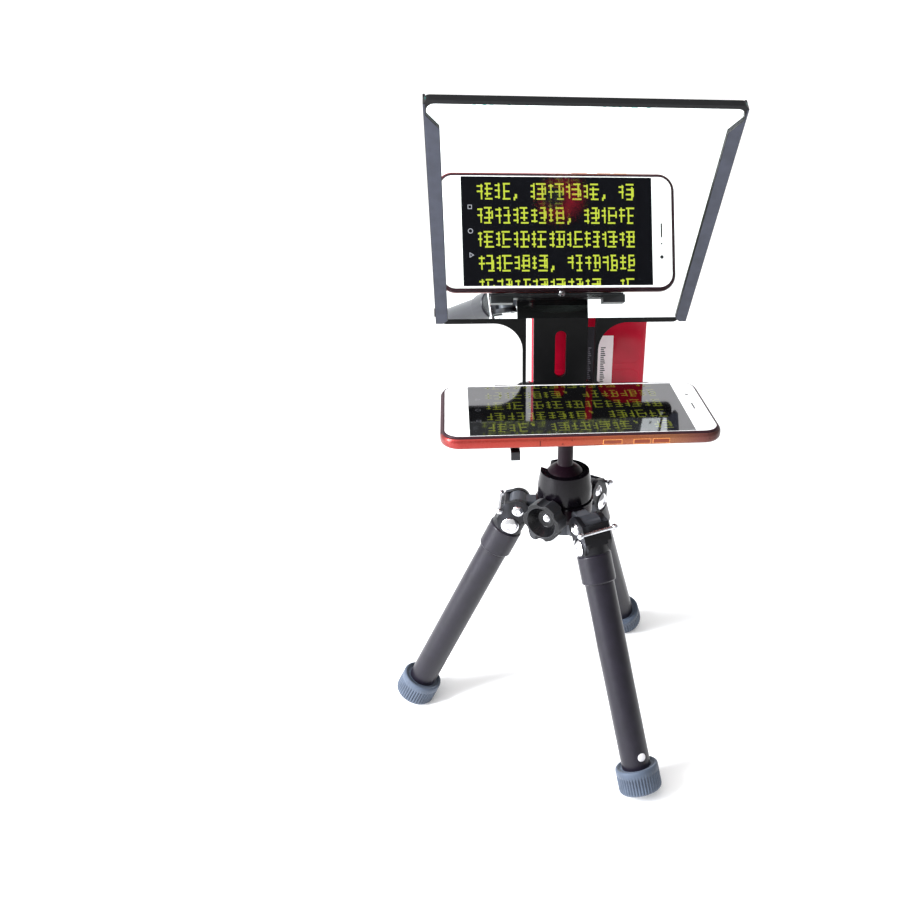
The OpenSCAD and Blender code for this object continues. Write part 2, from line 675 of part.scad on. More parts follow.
module clamp_rail() color("#17171b") place() difference() {
    union() {
        block([cam_x0 - 4.8, carriage_y1, rail_z0], [rail_x1, rail_y1, rail_z1]);
        block([cam_x0 - 4.8, carriage_y1, rail_z0], [cam_x0 - gap - pad_t, hook_y1, rail_z1 + 1]);
        block([cam_x0 - 4.8, cam_y1 + 0.4, rail_z0], [cam_x0 + 2.6, hook_y1, rail_z1 + 1]);
        block([-4, rail_y1 - 3, cam_bottom - 2.6], [26, rail_y1, rail_z0 + 1]);
        block([-4, rail_y1 - 3, cam_bottom - 2.6], [26, cam_y1 + 1.2, cam_bottom]);
    }
    x_rod(rod_y, rod_z, chamber_r, chamber_x0, chamber_x1);
    x_rod(rod_y, rod_z, rod_r + run, chamber_x1 - 1, rail_x1 + 1);
}

module clamp_fixed_pad() color("#2c2c30") place()
    block([cam_x0 - gap - pad_t, cam_y0, rail_z0 + 1], [cam_x0 - gap, cam_y1, rail_z1]);

module clamp_jaw() color("#17171b") place() {
    x_rod(rod_y, rod_z, rod_r, rod_collar_x, cam_x1 + gap + pad_t + 1);
    x_rod(rod_y, rod_z, 3.3, rod_collar_x, rod_collar_x + rod_collar_t);
    block([cam_x1 + gap + pad_t, rod_y - 4, rail_z0], [cam_x1 + 4.8, hook_y1, rail_z1 + 1]);
    block([cam_x1 - 2.6, cam_y1 + 0.4, rail_z0], [cam_x1 + 4.8, hook_y1, rail_z1 + 1]);
}

module clamp_jaw_pad() color("#2c2c30") place()
    block([cam_x1 + gap, cam_y0, rail_z0 + 1], [cam_x1 + gap + pad_t, cam_y1, rail_z1]);

module clamp_spring() color("#b9babf") place() {
    spring_x0 = rod_collar_x + rod_collar_t;
    spring_len = chamber_x1 - spring_x0;
    translate([spring_x0, rod_y, rod_z]) rotate([0, 90, 0])
        linear_extrude(spring_len, twist = -360 * spring_turns, slices = 14 * spring_turns, $fn = 6)
            translate([2.85, 0]) circle(r = spring_wire_r);
}

// ---------- phones ----------
// A flat phone body: X along its length, screen towards +Z, underside at z = 0
module phone_case(wid) {
    linear_extrude(0.8) round_rect(phone_len - 2.4, wid - 2.4, phone_r - 1.2);
    translate([0, 0, 0.8]) linear_extrude(phone_t - glass_plate_t - 0.8) round_rect(phone_len, wid, phone_r);
}

module phone_glass(wid) translate([0, 0, phone_t - glass_plate_t]) linear_extrude(glass_plate_t)
    round_rect(phone_len - 2.6, wid - 2.6, phone_r - 1.3);

// The pocket that a side button sits in, on the phone's -Y side
module button_pocket(wid, x, len)
    block([x - len / 2 - 0.15, -wid / 2 - 1, button_z - button_h / 2 - 0.15],
        [x + len / 2 + 0.15, -wid / 2 + button_travel + 0.9, button_z + button_h / 2 + 0.15]);

module side_button(wid, x, len)
    block([x - len / 2, -wid / 2 - button_travel, button_z - button_h / 2],
        [x + len / 2, -wid / 2 + button_t - 0.2, button_z + button_h / 2]);

module phone_with_pockets(wid) difference() {
    phone_case(wid);
    button_pocket(wid, power_x, power_len);
    button_pocket(wid, volume_up_x, volume_len);
    button_pocket(wid, volume_down_x, volume_len);
}

module display_frame() place() translate([phone_x, phone_y, phone_bottom]) children();

// The camera phone stands on end with its screen to the rear
module camera_frame() place() translate([(cam_x0 + cam_x1) / 2, cam_y0, (cam_top + cam_bottom) / 2])
    rotate([-90, 0, 0]) rotate([0, 0, -90]) children();

module display_phone_body() color("#e2573f") display_frame() phone_with_pockets(phone_wid);
module display_phone_glass() color("#f2f2f2") display_frame() phone_glass(phone_wid);
module display_power_button() color("#f0a070") display_frame() side_button(phone_wid, power_x, power_len);
module display_volume_up() color("#f0a070") display_frame() side_button(phone_wid, volume_up_x, volume_len);
module display_volume_down() color("#f0a070") display_frame()
    side_button(phone_wid, volume_down_x, volume_len);

lens_y = 12 - cam_wid / 2;
lens_x = phone_len / 2 - 11;
module camera_phone_body() color("#9c0f22") camera_frame() difference() {
    phone_with_pockets(cam_wid);
    translate([lens_x, lens_y, -1]) cylinder(r = 6.2, h = 3);
}
module camera_phone_glass() color("#0c0c0e") camera_frame() phone_glass(cam_wid);
module camera_phone_lens() color("#30333a") camera_frame()
    translate([lens_x, lens_y, 0.2]) difference() {
        translate([0, 0, -1.2]) cylinder(r = 6.2, h = 3);
        translate([0, 0, -1.5]) cylinder(r = 4, h = 1.2);
    }
module camera_power_button() color("#b3122a") camera_frame() side_button(cam_wid, power_x, power_len);
module camera_volume_up() color("#b3122a") camera_frame() side_button(cam_wid, volume_up_x, volume_len);
module camera_volume_down() color("#b3122a") camera_frame() side_button(cam_wid, volume_down_x, volume_len);

hub_spider();
head_base();
centre_bolt();
ball_seat();
leg_left_bracket();
leg_left_collar();
leg_left_tube();
leg_left_foot();
leg_left_screws();
leg_left_lock();
leg_front_bracket();
leg_front_collar();
leg_front_tube();
leg_front_foot();
leg_front_screws();
leg_front_lock();
leg_rear_bracket();
leg_rear_collar();
leg_rear_tube();
leg_rear_foot();
leg_rear_screws();
leg_rear_lock();
lock_knob();
lock_knob_screw();
ball_cup();
ball_stem();
head_plate();
head_stud();
tee_plate();
tray_riser();
tray_deck();
tray_mat();
tray_screws();
hinge_lugs();
plate_screws();
rear_jaw();
rear_jaw_pad();
hood_top_rail();
hood_left_rail();
hood_right_rail();
mirror_glass();
hinge_pins();
clamp_carriage();
clamp_bolts();
clamp_rail();
clamp_fixed_pad();
clamp_jaw();
clamp_jaw_pad();
clamp_spring();
display_phone_body();
display_phone_glass();
display_power_button();
display_volume_up();
display_volume_down();
camera_phone_body();
camera_phone_glass();
camera_phone_lens();
camera_power_button();
camera_volume_up();
camera_volume_down();
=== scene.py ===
"""Looks for the phone teleprompter: finished meshes and materials around the CAD frame. Metres, +Z up."""

import json
import math
import random

import bmesh
import bpy
from mathutils import Matrix, Vector

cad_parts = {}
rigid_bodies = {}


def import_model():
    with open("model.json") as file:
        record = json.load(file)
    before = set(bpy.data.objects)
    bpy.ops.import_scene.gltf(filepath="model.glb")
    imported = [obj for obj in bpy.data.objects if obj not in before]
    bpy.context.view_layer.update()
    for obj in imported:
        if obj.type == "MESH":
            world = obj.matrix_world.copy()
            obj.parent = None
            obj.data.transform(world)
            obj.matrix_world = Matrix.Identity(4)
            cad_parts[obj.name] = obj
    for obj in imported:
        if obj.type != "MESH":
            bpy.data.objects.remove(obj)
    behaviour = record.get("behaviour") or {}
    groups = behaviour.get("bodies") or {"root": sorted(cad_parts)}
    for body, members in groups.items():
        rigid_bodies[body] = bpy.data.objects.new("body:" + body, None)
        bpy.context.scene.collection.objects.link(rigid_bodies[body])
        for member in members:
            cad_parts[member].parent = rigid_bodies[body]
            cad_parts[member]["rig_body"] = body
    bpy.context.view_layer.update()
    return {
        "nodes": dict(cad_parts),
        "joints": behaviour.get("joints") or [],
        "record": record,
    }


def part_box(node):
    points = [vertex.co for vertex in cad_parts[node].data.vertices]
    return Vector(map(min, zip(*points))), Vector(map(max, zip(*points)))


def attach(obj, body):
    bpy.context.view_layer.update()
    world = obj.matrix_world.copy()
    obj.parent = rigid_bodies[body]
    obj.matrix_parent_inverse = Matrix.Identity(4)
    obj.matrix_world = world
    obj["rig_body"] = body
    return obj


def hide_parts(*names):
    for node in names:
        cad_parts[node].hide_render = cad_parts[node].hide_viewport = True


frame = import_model()

MM = 0.001
NODES = frame["nodes"]
JOINTS = {joint["name"]: joint for joint in frame["joints"]}
SLOT_OF = {part["node"]: part["material_slot"] for part in frame["record"]["subparts"]}
LEGS = ("left", "front", "rear")
Z_AXIS = Vector((0, 0, 1))


# ---------- colour and node helpers ----------
def linear(code):
    """A #rrggbb screen colour as a linear RGBA tuple."""
    parts = [int(code[i:i + 2], 16) / 255 for i in (1, 3, 5)]
    return tuple(c / 12.92 if c <= 0.04045 else ((c + 0.055) / 1.055) ** 2.4 for c in parts) + (1.0,)


def scaled(colour, k):
    return tuple(min(1.0, c * k) for c in colour[:3]) + (1.0,)


class Graph:
    """A material's nodes, with short calls for the few kinds that this scene uses."""

    def __init__(self, name):
        self.material = bpy.data.materials.new(name)
        self.material.use_nodes = True
        self.tree = self.material.node_tree
        self.shader = self.tree.nodes["Principled BSDF"]
        self.place = self.add("ShaderNodeTexCoord").outputs["Object"]

    def add(self, kind, **settings):
        node = self.tree.nodes.new(kind)
        for key, value in settings.items():
            setattr(node, key, value)
        return node

    def link(self, source, target):
        self.tree.links.new(source, target)

    def noise(self, scale, detail=4.0, stretch=None):
        """Noise at so many features per metre, drawn out by a stretch along each axis."""
        node = self.add("ShaderNodeTexNoise")
        node.inputs["Scale"].default_value = scale
        node.inputs["Detail"].default_value = detail
        place = self.place
        if stretch:
            mapping = self.add("ShaderNodeMapping")
            mapping.inputs["Scale"].default_value = stretch
            self.link(place, mapping.inputs["Vector"])
            place = mapping.outputs["Vector"]
        self.link(place, node.inputs["Vector"])
        return node.outputs["Fac"]

    def ramp(self, value, low, high, out_low=0.0, out_high=1.0):
        node = self.add("ShaderNodeMapRange", clamp=True)
        node.inputs["From Min"].default_value = low
        node.inputs["From Max"].default_value = high
        node.inputs["To Min"].default_value = out_low
        node.inputs["To Max"].default_value = out_high
        self.link(value, node.inputs["Value"])
        return node.outputs["Result"]

    def mix(self, share, a, b):
        """A colour from a to b. Each is a linear colour or another node's output."""
        node = self.add("ShaderNodeMix", data_type="RGBA")
        self.link(share, node.inputs["Factor"])
        for socket, value in ((node.inputs[6], a), (node.inputs[7], b)):
            if isinstance(value, tuple):
                socket.default_value = value
            else:
                self.link(value, socket)
        return node.outputs[2]

    def bump(self, height, depth):
        node = self.add("ShaderNodeBump")
        node.inputs["Strength"].default_value = 0.6
        node.inputs["Distance"].default_value = depth
        self.link(height, node.inputs["Height"])
        self.link(node.outputs["Normal"], self.shader.inputs["Normal"])

    def set(self, **sockets):
        for key, value in sockets.items():
            self.shader.inputs[key.replace("_", " ")].default_value = value

    def coat(self, colour, rough, rough_spread, spread, grain, depth, wear, worn, stretch=None):
        """Mottled colour and roughness, fine grain, and edges rubbed to a worn colour."""
        fine = self.noise(grain, 5.0, stretch)
        cloud = self.noise(grain * 0.06, 3.0)
        body = self.mix(self.ramp(cloud, 0.35, 0.65), scaled(colour, 1 - spread), scaled(colour, 1 + spread))
        if wear:
            edge = self.ramp(self.add("ShaderNodeNewGeometry").outputs["Pointiness"], 0.56, 0.66, 0, wear)
            body = self.mix(edge, body, worn)
        self.link(body, self.shader.inputs["Base Color"])
        self.link(self.ramp(fine, 0.3, 0.7, rough - rough_spread, rough + rough_spread),
                  self.shader.inputs["Roughness"])
        self.bump(fine, depth)


# ---------- materials ----------
def surface(name, code, rough, metal=0.0, rough_spread=0.05, spread=0.12, grain=1400.0, depth=0.00003,
            wear=0.0, worn="#8b8d93", stretch=None, **sockets):
    graph = Graph(name)
    graph.coat(linear(code), rough, rough_spread, spread, grain, depth, wear, linear(worn), stretch)
    graph.set(Metallic=metal, **sockets)
    return graph.material


def brushed(name, code, rough, stretch):
    return surface(name, code, rough, metal=1.0, rough_spread=0.08, spread=0.06, grain=900.0,
                   depth=0.00001, stretch=stretch)


def rose_to_gold_end_shade(name, low_x, high_x):
    """Anodised rim that fades from rose red on the left to gold; its end corners are darkened as painted
    shade, the last corner most, through mauve to near black.
    """
    graph = Graph(name)
    split = graph.add("ShaderNodeSeparateXYZ")
    graph.link(graph.place, split.inputs["Vector"])
    along = graph.ramp(split.outputs["X"], low_x, high_x)
    shade = graph.add("ShaderNodeValToRGB")
    # The first stop and the last two stops are painted shade at the end corners
    stops = ((0.0, "#66171c"), (0.06, "#861a1c"), (0.2, "#8c1f18"), (0.45, "#8c2d1b"),
             (0.62, "#8a4426"), (0.8, "#835032"), (0.91, "#61312d"), (1.0, "#26101a"))
    while len(shade.color_ramp.elements) < len(stops):
        shade.color_ramp.elements.new(0.5)
    for element, (position, code) in zip(shade.color_ramp.elements, stops):
        element.position = position
        element.color = linear(code)
    graph.link(along, shade.inputs["Fac"])
    fine = graph.noise(2600.0, 4.0)
    graph.link(graph.mix(graph.ramp(fine, 0.3, 0.7, 0, 0.06), shade.outputs["Color"], linear("#ffd2b8")),
               graph.shader.inputs["Base Color"])
    graph.link(graph.ramp(fine, 0.3, 0.7, 0.26, 0.36), graph.shader.inputs["Roughness"])
    graph.bump(fine, 0.00001)
    graph.set(Metallic=0.6, Specular_IOR_Level=0.2, Coat_Weight=0.1, Coat_Roughness=0.15)
    return graph.material


def clear_patch(graph, middle, reach_x, reach_slope, cover):
    """How opaque the mirror is around one point, for a painted dark patch in its reflection: the cover at
    the middle, and full outside the reach.
    """
    offset = graph.add("ShaderNodeVectorMath", operation="SUBTRACT")
    offset.inputs[1].default_value = middle
    graph.link(graph.place, offset.inputs[0])
    shape = graph.add("ShaderNodeVectorMath", operation="MULTIPLY")
    shape.inputs[1].default_value = (1 / reach_x, 1 / reach_slope, 1 / reach_slope)
    graph.link(offset.outputs["Vector"], shape.inputs[0])
    away = graph.add("ShaderNodeVectorMath", operation="LENGTH")
    graph.link(shape.outputs["Vector"], away.inputs[0])
    return graph.ramp(away.outputs["Value"], 0.35, 1.0, cover, 1.0)


def mirror_glass(name, lens_patch, plate_patch):
    """Mirror made clearer in front of the lens and of the plate's top screw, as painted dark patches in its
    reflection that let what stands behind show through.
    """
    graph = Graph(name)
    graph.set(Metallic=1.0, Roughness=0.008)
    both = graph.add("ShaderNodeMath", operation="MULTIPLY")
    for socket, patch in zip(both.inputs, (lens_patch, plate_patch)):
        graph.link(clear_patch(graph, *patch), socket)
    graph.link(both.outputs["Value"], graph.shader.inputs["Alpha"])
    graph.shader.inputs["Base Color"].default_value = (0.94, 0.985, 0.965, 1)
    smear = graph.noise(45.0, 3.0)
    graph.bump(smear, 0.0000002)
    return graph.material


def lit_screen(name, code, strength):
    """Screen pixels under a glossy cover, whose own gloss takes over at a low angle."""
    graph = Graph(name)
    fine = graph.noise(4000.0, 2.0)
    glow = graph.mix(graph.ramp(fine, 0.35, 0.65), scaled(linear(code), 0.93), linear(code))
    graph.link(glow, graph.shader.inputs["Emission Color"])
    graph.set(Emission_Strength=strength, Roughness=0.3, Specular_IOR_Level=0.0)
    graph.shader.inputs["Base Color"].default_value = (0.004, 0.004, 0.005, 1)
    gloss = graph.add("ShaderNodeBsdfGlossy")
    gloss.inputs["Color"].default_value = (0.32, 0.32, 0.33, 1)
    gloss.inputs["Roughness"].default_value = 0.05
    facing = graph.add("ShaderNodeLayerWeight")
    facing.inputs["Blend"].default_value = 0.7
    both = graph.add("ShaderNodeMixShader")
    graph.link(graph.ramp(facing.outputs["Facing"], 0.12, 0.8, 0.0, 0.86), both.inputs["Fac"])
    graph.link(graph.shader.outputs["BSDF"], both.inputs[1])
    graph.link(gloss.outputs["BSDF"], both.inputs[2])
    graph.link(both.outputs["Shader"], graph.tree.nodes["Material Output"].inputs["Surface"])
    return graph.material


MATERIALS = {
    "hub_grey": surface("hub_grey", "#45484e", 0.5, 0.2, grain=2200, depth=0.00008, wear=0.4, worn="#8a8c92",
                        Specular_IOR_Level=0.3),
    "satin_black": surface("satin_black", "#190c14", 0.32, Specular_IOR_Level=0.12),
    "gloss_black": surface("gloss_black", "#0a070c", 0.2, rough_spread=0.04, depth=0.00001,
                           Specular_IOR_Level=0.2),
    "bracket_black": surface("bracket_black", "#101014", 0.42, grain=2000, depth=0.00005, wear=0.4,
                             worn="#5a5c64", Specular_IOR_Level=0.25),
    "leg_slate": surface("leg_slate", "#15121c", 0.33, rough_spread=0.04, spread=0.16, grain=2400,
                         depth=0.00002, wear=0.4, worn="#8588a0", Specular_IOR_Level=0.35),
    "foot_rubber": surface("foot_rubber", "#434d5c", 0.62, grain=1800, depth=0.0001, spread=0.15,
                           Sheen_Weight=0.15, Specular_IOR_Level=0.3),
    "screw_chrome": surface("screw_chrome", "#f2f2f6", 0.12, 1.0, rough_spread=0.04, spread=0.04, grain=700,
                            depth=0.00001),
    "lock_steel": surface("lock_steel", "#d6d7dc", 0.22, 1.0, rough_spread=0.08, spread=0.08, grain=900),
    "knob_black": surface("knob_black", "#2a2b2e", 0.45, grain=1600, depth=0.00005, wear=0.5,
                          worn="#9a9ca2", Specular_IOR_Level=0.3),
    "nylon": surface("nylon", "#dcd8ca", 0.45, grain=1200, Subsurface_Weight=0.05),
    "bolt_steel": brushed("bolt_steel", "#a9abb0", 0.3, (1, 1, 6)),
    "plate_black": surface("plate_black", "#070708", 0.44, grain=3200, depth=0.00006, wear=0.3,
                           worn="#3c3e44", Specular_IOR_Level=0.2),
    "tray_black": surface("tray_black", "#0a0a0c", 0.38, grain=2600, depth=0.00003, wear=0.25,
                          Specular_IOR_Level=0.25),
    "mat_rubber": surface("mat_rubber", "#18181b", 0.8, grain=900, depth=0.00012, Specular_IOR_Level=0.2),
    "hood_slate": surface("hood_slate", "#363945", 0.34, 0.1, rough_spread=0.05, grain=2600, depth=0.00003,
                          wear=0.35, worn="#8d92a0", Specular_IOR_Level=0.35),
    "hood_black": surface("hood_black", "#08090b", 0.36, grain=2600, depth=0.00003, wear=0.2,
                          worn="#3c3e44", Specular_IOR_Level=0.22),
    "clamp_black": surface("clamp_black", "#141417", 0.5, grain=1500, depth=0.00006, wear=0.2,
                           Specular_IOR_Level=0.3),
    "spring_steel": brushed("spring_steel", "#b9babf", 0.28, (6, 1, 1)),
    "phone_white": surface("phone_white", "#fbfbfa", 0.12, spread=0.012, rough_spread=0.03, grain=500,
                           depth=0.000002, Coat_Weight=0.5, Coat_Roughness=0.03),
    "phone_red": surface("phone_red", "#ac0a28", 0.2, spread=0.14, rough_spread=0.04, grain=600,
                         depth=0.000004, Specular_IOR_Level=0.2, Coat_Weight=0.08, Coat_Roughness=0.04),
    "phone_black": surface("phone_black", "#08080a", 0.08, rough_spread=0.02, grain=600, depth=0.000002,
                           Coat_Weight=1.0, Coat_Roughness=0.02),
    "lens_black": surface("lens_black", "#141519", 0.2, 0.2, rough_spread=0.04, grain=900, depth=0.000005,
                          Coat_Weight=0.6, Coat_Roughness=0.05),
}
EDGE_GREEN = surface("glass_edge_green", "#35b3a8", 0.15, spread=0.4, grain=160, depth=0.000004,
                     Coat_Weight=0.5)
LINE_GREY = surface("glass_edge_grey", "#8d9290", 0.2, spread=0.1, grain=300, depth=0.000004)
PLUG_WHITE = surface("plug_white", "#d9d8dc", 0.42, spread=0.05, grain=900)
LABEL_WHITE = surface("label_white", "#f2e4e6", 0.5, spread=0.04, grain=1500, depth=0.00001)
# The label's strip in painted shadow
LABEL_SHADOW = surface("label_painted_shadow", "#26242a", 0.5, spread=0.1, grain=1500, depth=0.00001,
                     Specular_IOR_Level=0.3)
LABEL_INK = surface("label_ink", "#1c1618", 0.6, spread=0.1, grain=1500, depth=0.00001)
# Painted shade in the lock knob's dish
DISH_SHADE = surface("knob_dish_painted_shade", "#08080a", 0.3, grain=1600, depth=0.00002, Specular_IOR_Level=0.3)
# The label's ticks in painted shadow
LABEL_INK_SHADOW = surface("label_ink_painted_shadow", "#6d6a72", 0.6, spread=0.1, grain=1500, depth=0.00001)
# Painted shade on the display phone's rim top and round its glass edge
RIM_SHADE = surface("rim_painted_shade", "#2b151c", 0.42, spread=0.1, grain=1600, depth=0.00001,
                    Specular_IOR_Level=0.15)
BUTTON_COPPER = surface("button_copper", "#7a3622", 0.34, 0.5, spread=0.1, grain=1600, depth=0.00001)
# Painted highlight on the edges of the side buttons' pockets
BUTTON_EDGE_HIGHLIGHT = surface("button_edge_highlight", "#f2a25c", 0.25, 0.6, spread=0.1, grain=1600, depth=0.00001)
# Dark colour of the side's antenna line, and painted shade for the microphone holes
ANTENNA_LINE_AND_HOLE_SHADE = surface("antenna_line_and_hole_shade", "#4a1714", 0.7, spread=0.1, grain=1600, depth=0.00001,
                    Specular_IOR_Level=0.1)


# ---------- mesh helpers ----------
# Sharp enough to keep a flat face flat beside its rounded edge, and wide enough to keep a cylinder smooth
FLAT_ANGLE = 12


def new_piece(name, bm, materials, angle=35):
    """A piece from a bmesh, smooth apart from edges sharper than the angle."""
    mesh = bpy.data.meshes.new(name)
    bm.normal_update()
    bm.to_mesh(mesh)
    bm.free()
    for material in materials:
        mesh.materials.append(material)
    for polygon in mesh.polygons:
        polygon.use_smooth = True
    mesh.set_sharp_from_angle(angle=math.radians(angle))
    piece = bpy.data.objects.new(name, mesh)
    bpy.context.scene.collection.objects.link(piece)
    return piece


def stand_for(piece, *nodes):
    """The piece takes over the nodes' place, with the first one's body."""
    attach(piece, NODES[nodes[0]]["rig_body"])
    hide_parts(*nodes)
    return piece


def detail_of(piece, node):
    """A small piece on a node's body."""
    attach(piece, NODES[node]["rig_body"])
    return piece


def rings_to_bmesh(rings):
    """Skins a list of rings that hold the same number of points, and closes both ends."""
    bm = bmesh.new()
    made = [[bm.verts.new(point) for point in ring] for ring in rings]
    count = len(made[0])
    for low, high in zip(made, made[1:]):
        for i in range(count):
            j = (i + 1) % count
            bm.faces.new((low[i], low[j], high[j], high[i]))
    bm.faces.new(list(reversed(made[0])))
    bm.faces.new(made[-1])
    return bm


def rounded_outline(length, width, radius, steps):
    """Points round a rectangle with round corners, anticlockwise, centred on the origin."""
    points = []
    for corner, (sx, sy) in enumerate(((1, 1), (-1, 1), (-1, -1), (1, -1))):
        for step in range(steps + 1):
            angle = math.pi / 2 * (corner + step / steps)
            points.append((sx * (length / 2 - radius) + radius * math.cos(angle),
                           sy * (width / 2 - radius) + radius * math.sin(angle)))
    return points


def plate_rings(length, width, radius, profile, steps):
    """Rings of a rounded plate. The profile is a list of (inset, height)."""
    rings = []
    for inset, height in profile:
        corner = max(radius - inset, 0.0002)
        outline = rounded_outline(length - 2 * inset, width - 2 * inset, corner, steps)
        rings.append([(x, y, height) for x, y in outline])
    return rings


def arc_profile(inset, low, high, steps=5):
    """A quarter-round edge from the wall at height low to the top at height high."""
    angles = [math.pi / 2 * s / steps for s in range(steps + 1)]
    return [(inset * (1 - math.cos(a)), low + (high - low) * math.sin(a)) for a in angles]


def circle_ring(radius, height, steps):
    """One level ring of points round the Z axis."""
    angles = [2 * math.pi * k / steps for k in range(steps)]
    return [(radius * math.cos(a), radius * math.sin(a), height) for a in angles]


def softened(node, width=0.0004, segments=2, materials=None, sort=None):
    """A node's own shape with every hard edge rounded over. sort gives a face's material number."""
    bm = bmesh.new()
    bm.from_mesh(NODES[node].data)
    bmesh.ops.remove_doubles(bm, verts=bm.verts, dist=0.000002)
    bmesh.ops.dissolve_limit(bm, angle_limit=math.radians(0.5), verts=bm.verts, edges=bm.edges)
    hard = [e for e in bm.edges if e.is_manifold and e.calc_face_angle() > math.radians(28)]
    bmesh.ops.bevel(bm, geom=hard, offset=width, segments=segments, profile=0.5, affect="EDGES",
                    clamp_overlap=True)
    if sort:
        bm.normal_update()
        for face in bm.faces:
            face.material_index = sort(face.calc_center_median(), face.normal)
    piece = new_piece(node + "_finished", bm, materials or [MATERIALS[SLOT_OF[node]]], FLAT_ANGLE)
    return stand_for(piece, node)


def cut(piece, cutter_bm):
    """Takes a cutter's volume out of a piece."""
    cutter = new_piece("cutter", cutter_bm, [])
    modifier = piece.modifiers.new("cut", "BOOLEAN")
    modifier.operation = "DIFFERENCE"
    modifier.solver = "EXACT"
    modifier.object = cutter
    evaluated = piece.evaluated_get(bpy.context.evaluated_depsgraph_get())
    mesh = bpy.data.meshes.new_from_object(evaluated)
    piece.modifiers.clear()
    piece.data = mesh
    bpy.data.objects.remove(cutter)
    mesh.set_sharp_from_angle(angle=math.radians(35))


def box_bmesh(low, high):
    bm = bmesh.new()
    bmesh.ops.create_cube(bm, size=1.0)
    middle, size = (Vector(low) + Vector(high)) / 2, Vector(high) - Vector(low)
    bmesh.ops.transform(bm, matrix=Matrix.Translation(middle) @ Matrix.Diagonal((*size, 1)), verts=bm.verts)
    return bm


def join_into(target, source, matrix=None):
    """Adds one bmesh's geometry to another."""
    if matrix:
        bmesh.ops.transform(source, matrix=matrix, verts=source.verts)
    mesh = bpy.data.meshes.new("joined")
    source.to_mesh(mesh)
    source.free()
    target.from_mesh(mesh)
    bpy.data.meshes.remove(mesh)


# ---------- places ----------
def frame_of(pivot, x, y, z):
    matrix = Matrix((x, y, z)).transposed().to_4x4()
    matrix.translation = pivot
    return matrix


def leg_frame(leg):
    """A leg's own frame: origin at its pivot, -Z down the leg, +X outward."""
    joint = JOINTS[f"leg_{leg}_fold"]
    axle = Vector(joint["axis"])
    outward = axle.cross(Z_AXIS)
    splay = math.radians(joint["range_deg"][1])
    up = Z_AXIS * math.cos(splay) - outward * math.sin(splay)
    return frame_of(Vector(joint["pos_m"]), axle.cross(up), axle, up)


def hood_frame():
    """The hood's own frame: origin on its hinge, +Z up the slope, -Y out of the mirror's face."""
    joint = JOINTS["hood_tilt"]
    lean = math.radians(-joint["range_deg"][0])
    return Matrix.Translation(Vector(joint["pos_m"])) @ Matrix.Rotation(lean, 4, "X")


# ---------- tripod ----------
TUBE_R = 9.1 * MM
TUBE_LIFT = 3 * MM
TUBE_STEPS = 72
TUBE_ROWS = 24
FOOT_RIBS = 44
RIB_STEPS = 8
RIB_DEPTH = 0.7 * MM
# Radius and height in mm, and share of the ribs' depth, from the toe's middle round to inside the top
FOOT_PROFILE = (
    (0.0, 0.0, 0), (11.2, 0.0, 0), (12.6, 0.35, 0), (13.2, 1.1, 0.3), (13.5, 2.2, 1), (13.5, 6.0, 1),
    (13.5, 10.2, 1), (13.5, 11.2, 0.8), (13.5, 11.8, 0), (13.5, 14.4, 0), (13.35, 15.2, 0), (12.9, 15.8, 0),
    (12.3, 16.0, 0), (11.7, 15.8, 0), (11.2, 15.1, 0), (10.6, 14.7, 0), (9.6, 14.8, 0), (9.1, 15.0, 0),
    (9.1, 13.0, 0), (0.0, 13.0, 0))
# Height along the leg, reach of the head from the leg's middle and socket radius of each screw, in mm
LEG_SCREWS = ((0, 11.0, 1.6), (-11.3, 11.8, 2.4))
# From where to where a socket's cutter runs, in mm out from that reach
SOCKET_FLOOR, SOCKET_TOP = -1.1, 1.0
# Height above the foot's toe
PLUG_HEIGHT = 22.5 * MM
# The lock knob's dish: its flat floor and its rim
DISH_FLOOR_R = 5.6 * MM
DISH_R = 9.8 * MM


def leg_length(leg):
    """From the pivot down to the middle of the foot's toe, which lies a little below the tube's end."""
    matrix = leg_frame(leg)
    ends = [(matrix.inverted() @ v.co).z for v in NODES[f"leg_{leg}_tube"].data.vertices]
    return -min(ends) + TUBE_LIFT


def ribbed_foot(leg):
    """A moulded rubber foot: rounded toe, fine upright ribs, a plain lip and a dished top round the tube."""
    base = -leg_length(leg)
    count = FOOT_RIBS * RIB_STEPS
    rings = []
    for radius, height, rib in FOOT_PROFILE:
        ring = []
        for i in range(count):
            angle = 2 * math.pi * i / count
            dip = RIB_DEPTH * rib * (0.5 - 0.5 * math.cos(FOOT_RIBS * angle)) ** 2
            r = max(radius * MM - dip, 0.00001)
            ring.append((r * math.cos(angle), r * math.sin(angle), base + height * MM))
        rings.append(ring)
    bm = rings_to_bmesh(rings)
    bmesh.ops.transform(bm, matrix=leg_frame(leg), verts=bm.verts)
    geometry = bm.verts[:] + bm.edges[:] + bm.faces[:]
    sliced = bmesh.ops.bisect_plane(bm, geom=geometry, dist=0.0000001, plane_co=(0, 0, 0),
                                    plane_no=(0, 0, 1), clear_inner=True)
    rim = [e for e in sliced["geom_cut"] if isinstance(e, bmesh.types.BMEdge)]
    bmesh.ops.contextual_create(bm, geom=rim)
    bmesh.ops.recalc_face_normals(bm, faces=bm.faces)
    stand_for(new_piece(f"leg_{leg}_foot_ribbed", bm, [MATERIALS["foot_rubber"]], 50), f"leg_{leg}_foot")


